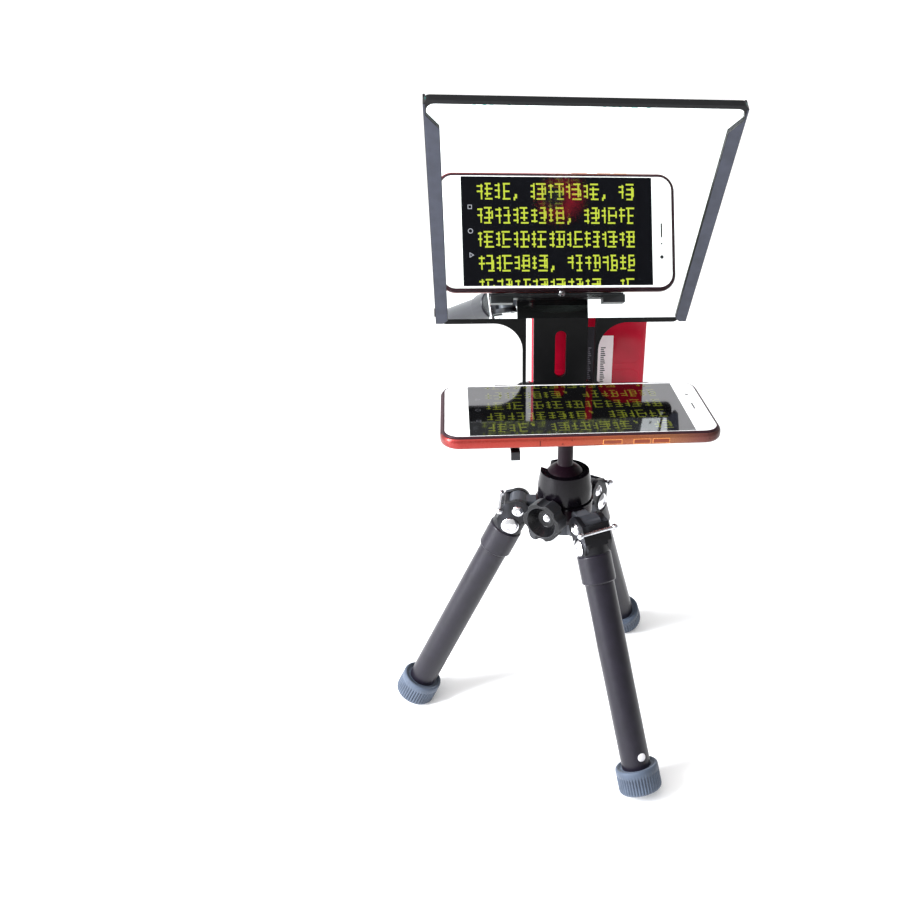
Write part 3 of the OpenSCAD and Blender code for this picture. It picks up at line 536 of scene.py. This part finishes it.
def leg_tube(leg):
    """The leg's anodised tube, with a slightly eased edge at each end."""
    bottom = TUBE_LIFT - leg_length(leg)
    matrix = leg_frame(leg)
    top = max((matrix.inverted() @ v.co).z for v in NODES[f"leg_{leg}_tube"].data.vertices)
    ease = 0.25 * MM
    stations = [(TUBE_R - ease, bottom), (TUBE_R, bottom + ease)]
    rise = (top - bottom - 2 * ease) / TUBE_ROWS
    stations += [(TUBE_R, bottom + ease + rise * i) for i in range(1, TUBE_ROWS + 1)]
    stations.append((TUBE_R - ease, top))
    bm = rings_to_bmesh([circle_ring(radius, height, TUBE_STEPS) for radius, height in stations])
    bmesh.ops.transform(bm, matrix=matrix, verts=bm.verts)
    stand_for(new_piece(f"leg_{leg}_tube_round", bm, [MATERIALS["leg_slate"]]), f"leg_{leg}_tube")


def screw_recesses(leg):
    """Rounds the leg's screw heads and cuts a hexagon socket into each."""
    piece = softened(f"leg_{leg}_screws", 0.15 * MM, 2)
    matrix = leg_frame(leg)
    for z, reach, size in LEG_SCREWS:
        hexagon = polygon_points(0, 0, size * MM, 6)
        for side in (-1, 1):
            bm = rings_to_bmesh([[(x, side * (reach + h) * MM, y + z * MM) for x, y in hexagon]
                                 for h in (SOCKET_FLOOR, SOCKET_TOP)])
            bmesh.ops.recalc_face_normals(bm, faces=bm.faces)
            bmesh.ops.transform(bm, matrix=matrix, verts=bm.verts)
            cut(piece, bm)


def domed_disc(radius, height, steps=32, rings=5):
    """A low dome on a plain disc, rising along +Z from its base."""
    profile = [(radius, -0.3 * MM), (radius, 0.0)]
    for i in range(1, rings + 1):
        angle = math.pi / 2 * i / rings
        profile.append((max(radius * math.cos(angle), 0.00001), height * math.sin(angle)))
    return rings_to_bmesh([circle_ring(reach, rise, steps) for reach, rise in profile])


def tube_plug(leg):
    """The pale plug in the outer side of a leg tube, just above the foot."""
    matrix = leg_frame(leg) @ Matrix.Translation((TUBE_R - 0.15 * MM, 0, PLUG_HEIGHT - leg_length(leg)))
    bm = domed_disc(2.6 * MM, 0.5 * MM)
    bmesh.ops.transform(bm, matrix=matrix @ Matrix.Rotation(math.pi / 2, 4, "Y"), verts=bm.verts)
    detail_of(new_piece(f"leg_{leg}_plug", bm, [PLUG_WHITE]), f"leg_{leg}_tube")


def dish_sort(middle, axis):
    """Sorts the knob's faces: 1 for the dish, whose faces lean towards the knob's axis and get painted
    shade.
    """
    def sort(centre, normal):
        out = centre - middle
        away = out - axis * out.dot(axis)
        inward = away.length > 0 and normal.dot(away.normalized()) < -0.3
        floor = normal.dot(axis) > 0.9 and away.length < DISH_FLOOR_R
        return 1 if away.length < DISH_R and (inward or floor) else 0
    return sort


def build_tripod():
    for leg in LEGS:
        ribbed_foot(leg)
        leg_tube(leg)
        screw_recesses(leg)
        softened(f"leg_{leg}_bracket", 0.8 * MM, 3)
        softened(f"leg_{leg}_collar", 0.25 * MM)
        softened(f"leg_{leg}_lock", 0.2 * MM)
    tube_plug("front")
    softened("hub_spider", 0.6 * MM)
    softened("head_base", 0.3 * MM)
    softened("ball_cup", 0.3 * MM)
    softened("ball_stem", 0.2 * MM)
    knob = JOINTS["lock_knob_turn"]
    middle, axis = Vector(knob["pos_m"]), Vector(knob["axis"])
    # The dish takes the second material, painted shade
    softened("lock_knob", 0.5 * MM, 2, [MATERIALS["knob_black"], DISH_SHADE], dish_sort(middle, axis))
    softened("head_plate", 0.3 * MM)


# ---------- bent plate, tray and clamp ----------
def build_bracket():
    softened("tee_plate", 0.3 * MM)
    for node in ("tray_riser", "tray_deck", "rear_jaw", "hinge_lugs"):
        softened(node, 0.3 * MM)
    for node in ("clamp_carriage", "clamp_rail", "clamp_jaw"):
        softened(node, 0.35 * MM)


# ---------- hood ----------
RAIL_H = 2 * MM
GLASS_CHAMFER = 0.25 * MM
GLOW_STEPS = 24
# Start and end of each stretch of glowing edge, as shares of the half width
GLOW_STRETCHES = ((-0.93, -0.38), (0.05, 0.56))
# Front and back of the glowing edge, in the hood's frame
GLOW_NEAR, GLOW_FAR = -7.15 * MM, -6.95 * MM
# Middle in the hood's frame (mm), reach across and up the slope, and how opaque the middle is, of each patch
# of painted dark reflection
LENS_PATCH = ((-8, -7, 96), 16.5 * MM, 22.5 * MM, 0.62)
PLATE_PATCH = ((-3, -7, 19), 26 * MM, 12.5 * MM, 0.5)


def front_face_slate(matrix):
    """Sorts a rail's faces: 0 for its outer front face, 1 for its edges, lip and inner side."""
    out = (matrix.to_3x3() @ Vector((0, -1, 0))).normalized()
    return lambda centre, normal: 0 if normal.dot(out) > 0.97 else 1


def build_hood():
    matrix = hood_frame()
    rail_materials = [MATERIALS["hood_slate"], MATERIALS["hood_black"]]
    softened("hood_left_rail", 0.3 * MM, 2, rail_materials, front_face_slate(matrix))
    softened("hood_right_rail", 0.3 * MM, 2, rail_materials, front_face_slate(matrix))
    softened("hood_top_rail", 0.3 * MM)
    mirror_pane(matrix)
    edge_glow(matrix)


def edge_glow(matrix):
    """The glass's bright green edge, which shows in places under the top rail."""
    low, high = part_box("mirror_glass")
    half = (high.x - low.x) / 2 - 5 * MM
    rail = max((matrix.inverted() @ v.co).z for v in NODES["hood_top_rail"].data.vertices) - RAIL_H
    draw = random.Random(3)
    bm = bmesh.new()
    for start, end in GLOW_STRETCHES:
        for i in range(GLOW_STEPS):
            a, b = (half * (start + (end - start) * (i + k) / GLOW_STEPS) for k in (0, 1))
            depth = draw.uniform(0.4, 1.3) * MM
            join_into(bm, box_bmesh((a, GLOW_NEAR, rail - depth), (b, GLOW_FAR, rail + 0.2 * MM)))
    bmesh.ops.transform(bm, matrix=matrix, verts=bm.verts)
    detail_of(new_piece("mirror_edge_glow", bm, [EDGE_GREEN]), "mirror_glass")


def placed_patch(matrix, patch):
    """A patch of the mirror with its middle moved from the hood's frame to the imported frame."""
    middle, *rest = patch
    return (matrix @ (Vector(middle) * MM), *rest)


def mirror_pane(matrix):
    """The glass: mirror coating on both faces, ground grey edges, and a green top edge."""
    inverse = matrix.inverted()
    points = [inverse @ v.co for v in NODES["mirror_glass"].data.vertices]
    low = Vector([min(p[i] for p in points) for i in range(3)])
    high = Vector([max(p[i] for p in points) for i in range(3)])
    chamfer = GLASS_CHAMFER
    outer = (low.x, high.x, low.z, high.z)
    inner = (low.x + chamfer, high.x - chamfer, low.z + chamfer, high.z - chamfer)
    bm = bmesh.new()

    def loop(bounds, y):
        x0, x1, z0, z1 = bounds
        return [bm.verts.new((x, y, z)) for x, z in ((x0, z0), (x1, z0), (x1, z1), (x0, z1))]

    loops = [loop(inner, low.y), loop(outer, low.y + chamfer),
             loop(outer, high.y - chamfer), loop(inner, high.y)]
    for a, b in zip(loops, loops[1:]):
        for i in range(4):
            j = (i + 1) % 4
            face = bm.faces.new((a[j], a[i], b[i], b[j]))
            face.material_index = 1 if i == 2 else 2
    bm.faces.new(loops[0])
    bm.faces.new(list(reversed(loops[-1])))
    bmesh.ops.recalc_face_normals(bm, faces=bm.faces)
    bmesh.ops.transform(bm, matrix=matrix, verts=bm.verts)
    patches = [placed_patch(matrix, patch) for patch in (LENS_PATCH, PLATE_PATCH)]
    MATERIALS["mirror"] = mirror_glass("mirror", *patches)
    pane = new_piece("mirror_pane", bm, [MATERIALS["mirror"], EDGE_GREEN, LINE_GREY], 10)
    stand_for(pane, "mirror_glass")


# ---------- phones ----------
PHONE_T = 7 * MM
PHONE_R = 11 * MM
GLASS_T = 0.9 * MM
SCREEN_LIFT = 0.02 * MM
RIM_W = 1.3 * MM
# How far a rim face must face up to take material 1, painted shade on the display phone; faces towards -Y
# take less of it
RIM_SLOPE = 0.3
NEAR_RIM_SLOPE = 0.95
FRONT_LINE = 0.6 * MM
PHONE_STEPS = 16
BUTTON_H = 2.2 * MM
BUTTON_Z = 2.8 * MM
# Middle along the phone, and length, of the power, volume-up and volume-down buttons
BUTTONS = ((14.8 * MM, 9.8 * MM), (30.8 * MM, 8.8 * MM), (41.3 * MM, 8.8 * MM))
SHEET_T = 0.004 * MM


def phone_size(body):
    """Length, width and middle of a phone that lies flat, from its body's box."""
    low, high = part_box(body)
    return high - low, (low + high) / 2


def phone_body(length, width):
    """A slim body with rolled sides, screen towards +Z and underside at z = 0."""
    top = PHONE_T - GLASS_T
    belly = [(2.2 * MM * (1 - math.sin(a)), 2.4 * MM * (1 - math.cos(a)))
             for a in [math.pi / 2 * s / 7 for s in range(8)]]
    profile = belly + arc_profile(RIM_W, 3.6 * MM, top, 7)
    bm = rings_to_bmesh(plate_rings(length, width, PHONE_R, profile, PHONE_STEPS))
    bm.normal_update()
    # Rim faces that face up past the slope take material 1, which is painted shade on the display phone
    for face in bm.faces:
        slope = NEAR_RIM_SLOPE if face.normal.y < -0.1 else RIM_SLOPE
        face.material_index = 1 if face.normal.z > slope and face.calc_center_median().z > PHONE_T / 2 else 0
    return bm


def front_rings(length, width, line=()):
    """Rings of a phone's front glass, set in by the body's rim. line adds a ring on the top face."""
    profile = [(0.0, PHONE_T - GLASS_T)] + arc_profile(0.7 * MM, PHONE_T - GLASS_T + 0.2 * MM, PHONE_T)
    profile += [(profile[-1][0] + inset, PHONE_T) for inset in line]
    return plate_rings(length - 2 * RIM_W, width - 2 * RIM_W, PHONE_R - RIM_W, profile, PHONE_STEPS)


def darken_edge(bm):
    """Gives all of a phone's front but its large top face the second material, a painted shade line round
    the glass edge.
    """
    def rank(face):
        return face.calc_center_median().z > PHONE_T - SCREEN_LIFT, face.calc_area()

    top = max(bm.faces, key=rank)
    for face in bm.faces:
        face.material_index = 0 if face is top else 1


def button_cutters(piece, matrix, half_width, buttons):
    """Cuts the pockets that the side buttons sit in, on the body's -Y side."""
    gap = 0.15 * MM
    for x, length in buttons:
        cutter = box_bmesh((x - length / 2 - gap, -half_width - 1 * MM, BUTTON_Z - BUTTON_H / 2 - gap),
                           (x + length / 2 + gap, -half_width + 1.3 * MM, BUTTON_Z + BUTTON_H / 2 + gap))
        bmesh.ops.transform(cutter, matrix=matrix, verts=cutter.verts)
        cut(piece, cutter)


def flat_shape(bm, points, z, depth=SHEET_T):
    """A thin raised shape with the given outline."""
    rings = [[(x, y, z - depth) for x, y in points], [(x, y, z) for x, y in points]]
    join_into(bm, rings_to_bmesh(rings))


def bar(x0, x1, y0, y1, radius):
    """Outline of a bar with small round corners."""
    length, width = x1 - x0, y1 - y0
    outline = rounded_outline(length, width, min(radius, length / 2.01, width / 2.01), 3)
    return [(x + (x0 + x1) / 2, y + (y0 + y1) / 2) for x, y in outline]


def ring_shape(bm, outer, inner, z):
    """A thin raised line between an outer and an inner outline with as many points."""
    top = [[bm.verts.new((x, y, z)) for x, y in side] for side in (outer, inner)]
    low = [[bm.verts.new((x, y, z - SHEET_T)) for x, y in side] for side in (outer, inner)]
    count = len(outer)
    for i in range(count):
        j = (i + 1) % count
        bm.faces.new((top[0][i], top[0][j], top[1][j], top[1][i]))
        bm.faces.new((low[0][j], low[0][i], low[1][i], low[1][j]))
        bm.faces.new((low[0][i], low[0][j], top[0][j], top[0][i]))
        bm.faces.new((top[1][i], top[1][j], low[1][j], low[1][i]))


def polygon_points(x, y, radius, sides, turn=0.0):
    angles = [turn + 2 * math.pi * i / sides for i in range(sides)]
    return [(x + radius * math.cos(a), y + radius * math.sin(a)) for a in angles]


SCREEN = {"x0": -60.8 * MM, "x1": 61.0 * MM, "y0": -34.65 * MM, "y1": 33.85 * MM}
LINE_COUNT = 5
LINE_PITCH = 15 * MM
LINE_HEIGHT = 10.4 * MM
LINE_START = 4 * MM
TEXT_MARGIN = 10 * MM
CELLS = 9
# Cells of each line that hold a pause mark, and cells left blank
PAUSES = {(0, 2), (0, 7), (1, 5), (3, 4)}
BLANKS = {(4, 7)}


def mark_strokes(draw):
    """Strokes of one abstract mark, as (x0, x1, y0, y1) shares of its cell. No real character."""
    strokes = []
    split = draw.choice((0.3, 0.36, 0.42))
    rows = draw.choice((3, 4))
    stem = draw.uniform(0.08, split - 0.12)
    strokes.append((stem, stem + 0.09, draw.uniform(0, 0.1), draw.uniform(0.85, 1)))
    for row in range(draw.choice((2, 3))):
        y = 0.12 + 0.32 * row + draw.uniform(-0.04, 0.04)
        strokes.append((0.0, split - 0.04, y, y + 0.1))
    post = draw.uniform(split + 0.1, 0.82)
    strokes.append((post, post + 0.1, draw.uniform(0, 0.2), draw.uniform(0.8, 1)))
    for row in range(rows):
        y = row * 0.9 / (rows - 1)
        inset = draw.uniform(0, 0.14)
        strokes.append((split + 0.03 + inset, 1.0 - draw.uniform(0, 0.14), y, y + 0.1))
    if draw.random() < 0.6:
        side = draw.uniform(0.86, 0.9)
        strokes.append((side, side + 0.09, draw.uniform(0.1, 0.4), draw.uniform(0.6, 0.9)))
    return strokes


def script_lines(z):
    """Lines of abstract marks, as a prompter script shows, cut off at the screen's far edge."""
    bm = bmesh.new()
    draw = random.Random(5)
    cell = (SCREEN["x1"] - SCREEN["x0"] - 2 * TEXT_MARGIN) / CELLS
    for line in range(LINE_COUNT):
        low = SCREEN["y0"] + LINE_START + line * LINE_PITCH
        for column in range(CELLS):
            left = SCREEN["x0"] + TEXT_MARGIN + column * cell
            strokes = mark_strokes(draw)
            if (line, column) in PAUSES:
                strokes = [(0.12, 0.26, 0.66, 0.92), (0.04, 0.14, 0.84, 1.04)]
            if (line, column) in BLANKS:
                strokes = []
            for x0, x1, y0, y1 in strokes:
                near, far = low + y0 * LINE_HEIGHT, min(low + y1 * LINE_HEIGHT, SCREEN["y1"])
                if far - near > 0.3 * MM:
                    width = 0.88 * cell
                    flat_shape(bm, [(left + x0 * width, near), (left + x1 * width, near),
                                    (left + x1 * width, far), (left + x0 * width, far)], z)
    return bm


def navigation_icons(z):
    """Square, circle and triangle outlines at the left end of the screen."""
    bm = bmesh.new()
    x = SCREEN["x0"] + 5.3 * MM
    line = 0.45 * MM
    for sides, radius, turn, along in ((4, 1.9, math.pi / 4, 19), (24, 1.6, 0, 34), (3, 2.0, 0, 49)):
        y = SCREEN["y0"] + along * MM
        radius *= MM
        ring_shape(bm, polygon_points(x, y, radius, sides, turn),
                   polygon_points(x, y, radius - line / math.cos(math.pi / sides), sides, turn), z)
    return bm


def display_phone():
    """The phone on the tray: rose to gold body, white front, lit screen."""
    size, middle = phone_size("display_phone_body")
    low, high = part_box("display_phone_body")
    matrix = Matrix.Translation((middle.x, middle.y, low.z))
    bm = phone_body(size.x, size.y)
    bmesh.ops.transform(bm, matrix=matrix, verts=bm.verts)
    body = new_piece("display_phone_shell", bm, [rose_to_gold_end_shade("phone_rose", low.x, high.x), RIM_SHADE])
    button_cutters(body, matrix, size.y / 2, BUTTONS)
    stand_for(body, "display_phone_body")
    side_marks(matrix, size.y / 2)

    # The front's ring set in by FRONT_LINE and its edge take the painted shade
    bm = rings_to_bmesh(front_rings(size.x, size.y, (FRONT_LINE,)))
    darken_edge(bm)
    bmesh.ops.transform(bm, matrix=matrix, verts=bm.verts)
    front = new_piece("display_phone_front", bm, [MATERIALS["phone_white"], RIM_SHADE])
    stand_for(front, "display_phone_glass")
    display_contents(matrix)


def display_contents(matrix):
    """The lit screen with its script and icons, and the openings beside it."""
    z = PHONE_T + SCREEN_LIFT
    parts = [
        ("display_screen", lit_screen("screen_dark", "#0b0b10", 0.25), None),
        ("display_script", lit_screen("screen_text", "#d0dd46", 1.08), script_lines(z + 0.006 * MM)),
        ("display_icons", lit_screen("screen_icons", "#c9c9d4", 0.9), navigation_icons(z + 0.006 * MM)),
        ("display_sensors", MATERIALS["phone_black"], front_openings(z - 0.005 * MM)),
    ]
    for name, material, shape in parts:
        if shape is None:
            shape = bmesh.new()
            outline = bar(SCREEN["x0"], SCREEN["x1"], SCREEN["y0"], SCREEN["y1"], 0.3 * MM)
            flat_shape(shape, outline, z, SCREEN_LIFT)
        bmesh.ops.transform(shape, matrix=matrix, verts=shape.verts)
        detail_of(new_piece(name, shape, [material]), "display_phone_glass")


def side_outline(bm, x0, x1, z0, z1, y, thick):
    """A thin raised rectangle outline on the phone's -Y side."""
    line = 0.28 * MM
    for low_x, high_x, low_z, high_z in ((x0, x1, z0 - line, z0), (x0, x1, z1, z1 + line),
                                         (x0 - line, x0, z0 - line, z1 + line),
                                         (x1, x1 + line, z0 - line, z1 + line)):
        join_into(bm, box_bmesh((low_x, y - thick, low_z), (high_x, y + 0.3 * MM, high_z)))


def side_marks(matrix, half_width):
    """Painted highlight lines round the side buttons' pockets, an antenna line, and two microphone holes
    drawn as dark discs of painted shade.
    """
    bm = bmesh.new()
    for x, length in BUTTONS:
        side_outline(bm, x - length / 2, x + length / 2, BUTTON_Z - BUTTON_H / 2, BUTTON_Z + BUTTON_H / 2,
                     -half_width, 0.12 * MM)
    bmesh.ops.transform(bm, matrix=matrix, verts=bm.verts)
    detail_of(new_piece("display_button_edge_highlights", bm, [BUTTON_EDGE_HIGHLIGHT]), "display_phone_body")

    bm = box_bmesh((-24.2 * MM, -half_width - 0.03 * MM, 1.6 * MM),
                   (-23.7 * MM, -half_width + 0.5 * MM, 4.4 * MM))
    # The microphone holes are flat dark discs, painted shade in place of openings
    for x, z, radius in ((-12, 2.3, 0.45), (-7, 4.3, 0.35)):
        hole = domed_disc(radius * MM, 0.02 * MM, 16, 2)
        place = Matrix.Translation((x * MM, -half_width, z * MM))
        join_into(bm, hole, place @ Matrix.Rotation(math.pi / 2, 4, "X"))
    bmesh.ops.transform(bm, matrix=matrix, verts=bm.verts)
    detail_of(new_piece("display_side_line_and_hole_shade", bm, [ANTENNA_LINE_AND_HOLE_SHADE]), "display_phone_body")


def front_openings(z):
    """Earpiece slot, a sensor and the front camera, in the right-hand bezel."""
    bm = bmesh.new()
    x = SCREEN["x1"] + 6.1 * MM
    near = SCREEN["y0"]
    flat_shape(bm, bar(x - 0.55 * MM, x + 0.55 * MM, near + 28.9 * MM, near + 38.1 * MM, 0.5 * MM), z)
    for along, radius in ((42, 0.6), (50.5, 1.2)):
        flat_shape(bm, polygon_points(x, near + along * MM, radius * MM, 24), z)
    return bm


def camera_phone():
    """The phone behind the glass, standing on end with its back to the front."""
    low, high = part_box("camera_phone_body")
    length, width = high.z - low.z, high.x - low.x
    middle = Vector(((low.x + high.x) / 2, low.y, (low.z + high.z) / 2))
    quarter = -math.pi / 2
    matrix = Matrix.Translation(middle) @ Matrix.Rotation(quarter, 4, "X") @ Matrix.Rotation(quarter, 4, "Z")
    bm = phone_body(length, width)
    bmesh.ops.transform(bm, matrix=matrix, verts=bm.verts)
    body = new_piece("camera_phone_shell", bm, [MATERIALS["phone_red"], MATERIALS["phone_red"]])
    button_cutters(body, matrix, width / 2, BUTTONS)
    stand_for(body, "camera_phone_body")

    bm = rings_to_bmesh(front_rings(length, width))
    bmesh.ops.transform(bm, matrix=matrix, verts=bm.verts)
    stand_for(new_piece("camera_phone_front", bm, [MATERIALS["phone_black"]]), "camera_phone_glass")
    camera_phone_back(matrix, length, width)


BACK_LIFT = 0.16 * MM
# Name, left and right edge, far end, all in mm from the phone's corner, and material of each strip of the
# one label; the second strip is the label in painted shadow
LABELS = (("camera_phone_label", 42.2, 52.6, 56, LABEL_WHITE),
          ("camera_phone_label_shadow", 33.6, 42.0, 62, LABEL_SHADOW))
# Name, left edge, shortest and longest tick, in mm, and material of each row of ticks; the second row is the
# ticks in painted shadow
TICK_ROWS = (("camera_phone_label_marks", 44.6, 2.2, 3.6, LABEL_INK),
             ("camera_phone_shadowed_label_marks", 36.4, 1.0, 2.6, LABEL_INK_SHADOW))
TICK_COUNT = 26


def camera_phone_back(matrix, length, width):
    """Raised panels of the back cover, and a plain label with ticks in two strips: a white one, and a dark
    one with grey ticks that is the label in painted shadow.
    """
    bm = bmesh.new()
    edge = 3.2 * MM
    half = length / 2
    panels = ((-half + edge, -half + 33 * MM), (-half + 37 * MM, half - 24 * MM))
    for low, high in panels:
        profile = [(0.0, 0.0)] + [(i, -h) for i, h in arc_profile(0.3 * MM, 0.02 * MM, BACK_LIFT)]
        panel = rings_to_bmesh(plate_rings(high - low, width - 2 * edge, 7 * MM, profile, 10))
        join_into(bm, panel, Matrix.Translation(((low + high) / 2, 0, 0)))
    bmesh.ops.recalc_face_normals(bm, faces=bm.faces)
    bmesh.ops.transform(bm, matrix=matrix, verts=bm.verts)
    detail_of(new_piece("camera_phone_back_panels", bm, [MATERIALS["phone_red"]]), "camera_phone_body")

    side = -width / 2
    for name, left, right, far, material in LABELS:
        bm = raised_strip(-half + 12 * MM, -half + far * MM, side + left * MM, side + right * MM,
                          BACK_LIFT, 0.06 * MM)
        bmesh.ops.transform(bm, matrix=matrix, verts=bm.verts)
        detail_of(new_piece(name, bm, [material]), "camera_phone_body")
    for name, left, shortest, longest, material in TICK_ROWS:
        bm = ticks(half, side + left * MM, shortest, longest)
        bmesh.ops.transform(bm, matrix=matrix, verts=bm.verts)
        detail_of(new_piece(name, bm, [material]), "camera_phone_body")


def raised_strip(x0, x1, y0, y1, lift, thick):
    """A thin strip on the phone's back, its outer face away from the screen."""
    outline = bar(x0, x1, y0, y1, 0.3 * MM)
    bm = rings_to_bmesh([[(x, y, -lift) for x, y in outline], [(x, y, -lift - thick) for x, y in outline]])
    bmesh.ops.recalc_face_normals(bm, faces=bm.faces)
    return bm


def ticks(half, left, shortest, longest):
    """A row of short blank ticks along a label, in four lengths."""
    bm = bmesh.new()
    steps = 4
    for tick in range(TICK_COUNT):
        x = -half + (15 + 1.3 * tick) * MM
        across = (shortest + (longest - shortest) * ((tick * 3) % steps) / steps) * MM
        join_into(bm, raised_strip(x, x + 0.7 * MM, left, left + across, BACK_LIFT + 0.05 * MM, 0.02 * MM))
    return bm


def build_phones():
    display_phone()
    camera_phone()
    for phone, material in (("display", BUTTON_COPPER), ("camera", MATERIALS["phone_red"])):
        for button in ("power_button", "volume_up", "volume_down"):
            softened(f"{phone}_{button}", 0.15 * MM, 2, [material])
    softened("camera_phone_lens", 0.2 * MM)


# ---------- studio ----------
def sweep_sheet():
    """A wide paper floor that curves up far behind the object."""
    turn = 1.4
    back = 2.6
    steps = 16
    angles = [math.pi / 2 * s / steps for s in range(1, steps + 1)]
    profile = [(-5.0, 0.0), (-1.0, 0.0), (back, 0.0)]
    profile += [(back + turn * math.sin(a), turn * (1 - math.cos(a))) for a in angles]
    profile.append((back + turn, 5.0))
    bm = bmesh.new()
    rows = [[bm.verts.new((x, y, z)) for y, z in profile] for x in (-7.0, 7.0)]
    for i in range(len(profile) - 1):
        bm.faces.new((rows[0][i], rows[1][i], rows[1][i + 1], rows[0][i + 1]))
    return bm


def build_floor():
    paper = surface("floor_paper", "#f4f4f4", 0.85, spread=0.008, grain=60, depth=0.00002,
                    Specular_IOR_Level=0.1)
    glow = paper.node_tree.nodes["Principled BSDF"].inputs
    glow["Emission Color"].default_value = (1, 1, 1, 1)
    glow["Emission Strength"].default_value = 0.12
    new_piece("floor", sweep_sheet(), [paper])


def build_world():
    """Soft surroundings that fade from bright on the left to dim on the right."""
    world = bpy.data.worlds.new("studio")
    bpy.context.scene.world = world
    world.use_nodes = True
    tree = world.node_tree
    place = tree.nodes.new("ShaderNodeTexCoord")
    split = tree.nodes.new("ShaderNodeSeparateXYZ")
    tree.links.new(place.outputs["Generated"], split.inputs["Vector"])
    side = tree.nodes.new("ShaderNodeMapRange")
    for key, value in (("From Min", -1.0), ("From Max", 0.9), ("To Min", 1.1), ("To Max", 0.32)):
        side.inputs[key].default_value = value
    tree.links.new(split.outputs["X"], side.inputs["Value"])
    tree.links.new(side.outputs["Result"], tree.nodes["Background"].inputs["Color"])


def build_lights():
    """A wide soft sun, and a cool window at the left."""
    target = Vector((0, 0, 0.2))
    sun = bpy.data.lights.new("soft_sun", "SUN")
    sun.energy = 1.1
    sun.angle = math.radians(50)
    aim(new_light(sun, (-0.5, -0.6, 1.8)), target)
    key = bpy.data.lights.new("window", "AREA")
    key.shape = "RECTANGLE"
    key.size = 0.35
    key.size_y = 0.9
    key.energy = 42.0
    key.color = (0.93, 0.95, 1.0)
    aim(new_light(key, (-1.0, -0.35, 0.65)), target)


def new_light(data, place):
    light = bpy.data.objects.new(data.name, data)
    bpy.context.scene.collection.objects.link(light)
    light.location = place
    return light


def aim(light, target):
    light.rotation_mode = "QUATERNION"
    light.rotation_quaternion = (target - light.location).to_track_quat("-Z", "Y")


# Where the photo was taken from, in mm, and its yaw, pitch and roll in degrees, from the photo's calibration
CAMERA_PLACE = (-46.51, -505.13, 442.8)
CAMERA_TURN = (8.02, 26.68, -1.88)


def build_camera():
    """Looks down from the front, a little to the left of the tripod."""
    data = bpy.data.cameras.new("camera")
    data.sensor_width = 36.0
    data.lens = 36.5
    data.shift_x = -0.129
    data.shift_y = 0.0062
    data.clip_start = 0.01
    data.clip_end = 60.0
    camera = bpy.data.objects.new("camera", data)
    bpy.context.scene.collection.objects.link(camera)
    yaw, pitch, roll = (math.radians(a) for a in CAMERA_TURN)
    forward = Vector((math.sin(yaw) * math.cos(pitch), math.cos(yaw) * math.cos(pitch), -math.sin(pitch)))
    level = Vector((math.cos(yaw), -math.sin(yaw), 0))
    down = forward.cross(level)
    right = level * math.cos(roll) + down * math.sin(roll)
    up = level * math.sin(roll) - down * math.cos(roll)
    camera.matrix_world = frame_of(Vector(CAMERA_PLACE) * MM, right, up, -forward)
    bpy.context.scene.camera = camera
    bpy.context.scene.view_settings.view_transform = "Standard"


build_camera()
build_floor()
build_world()
build_lights()
build_tripod()
build_bracket()
build_hood()
build_phones()

for node_name, node in NODES.items():
    node.data.materials.clear()
    node.data.materials.append(MATERIALS.get(SLOT_OF[node_name]) or bpy.data.materials["phone_rose"])

bpy.context.view_layer.update()
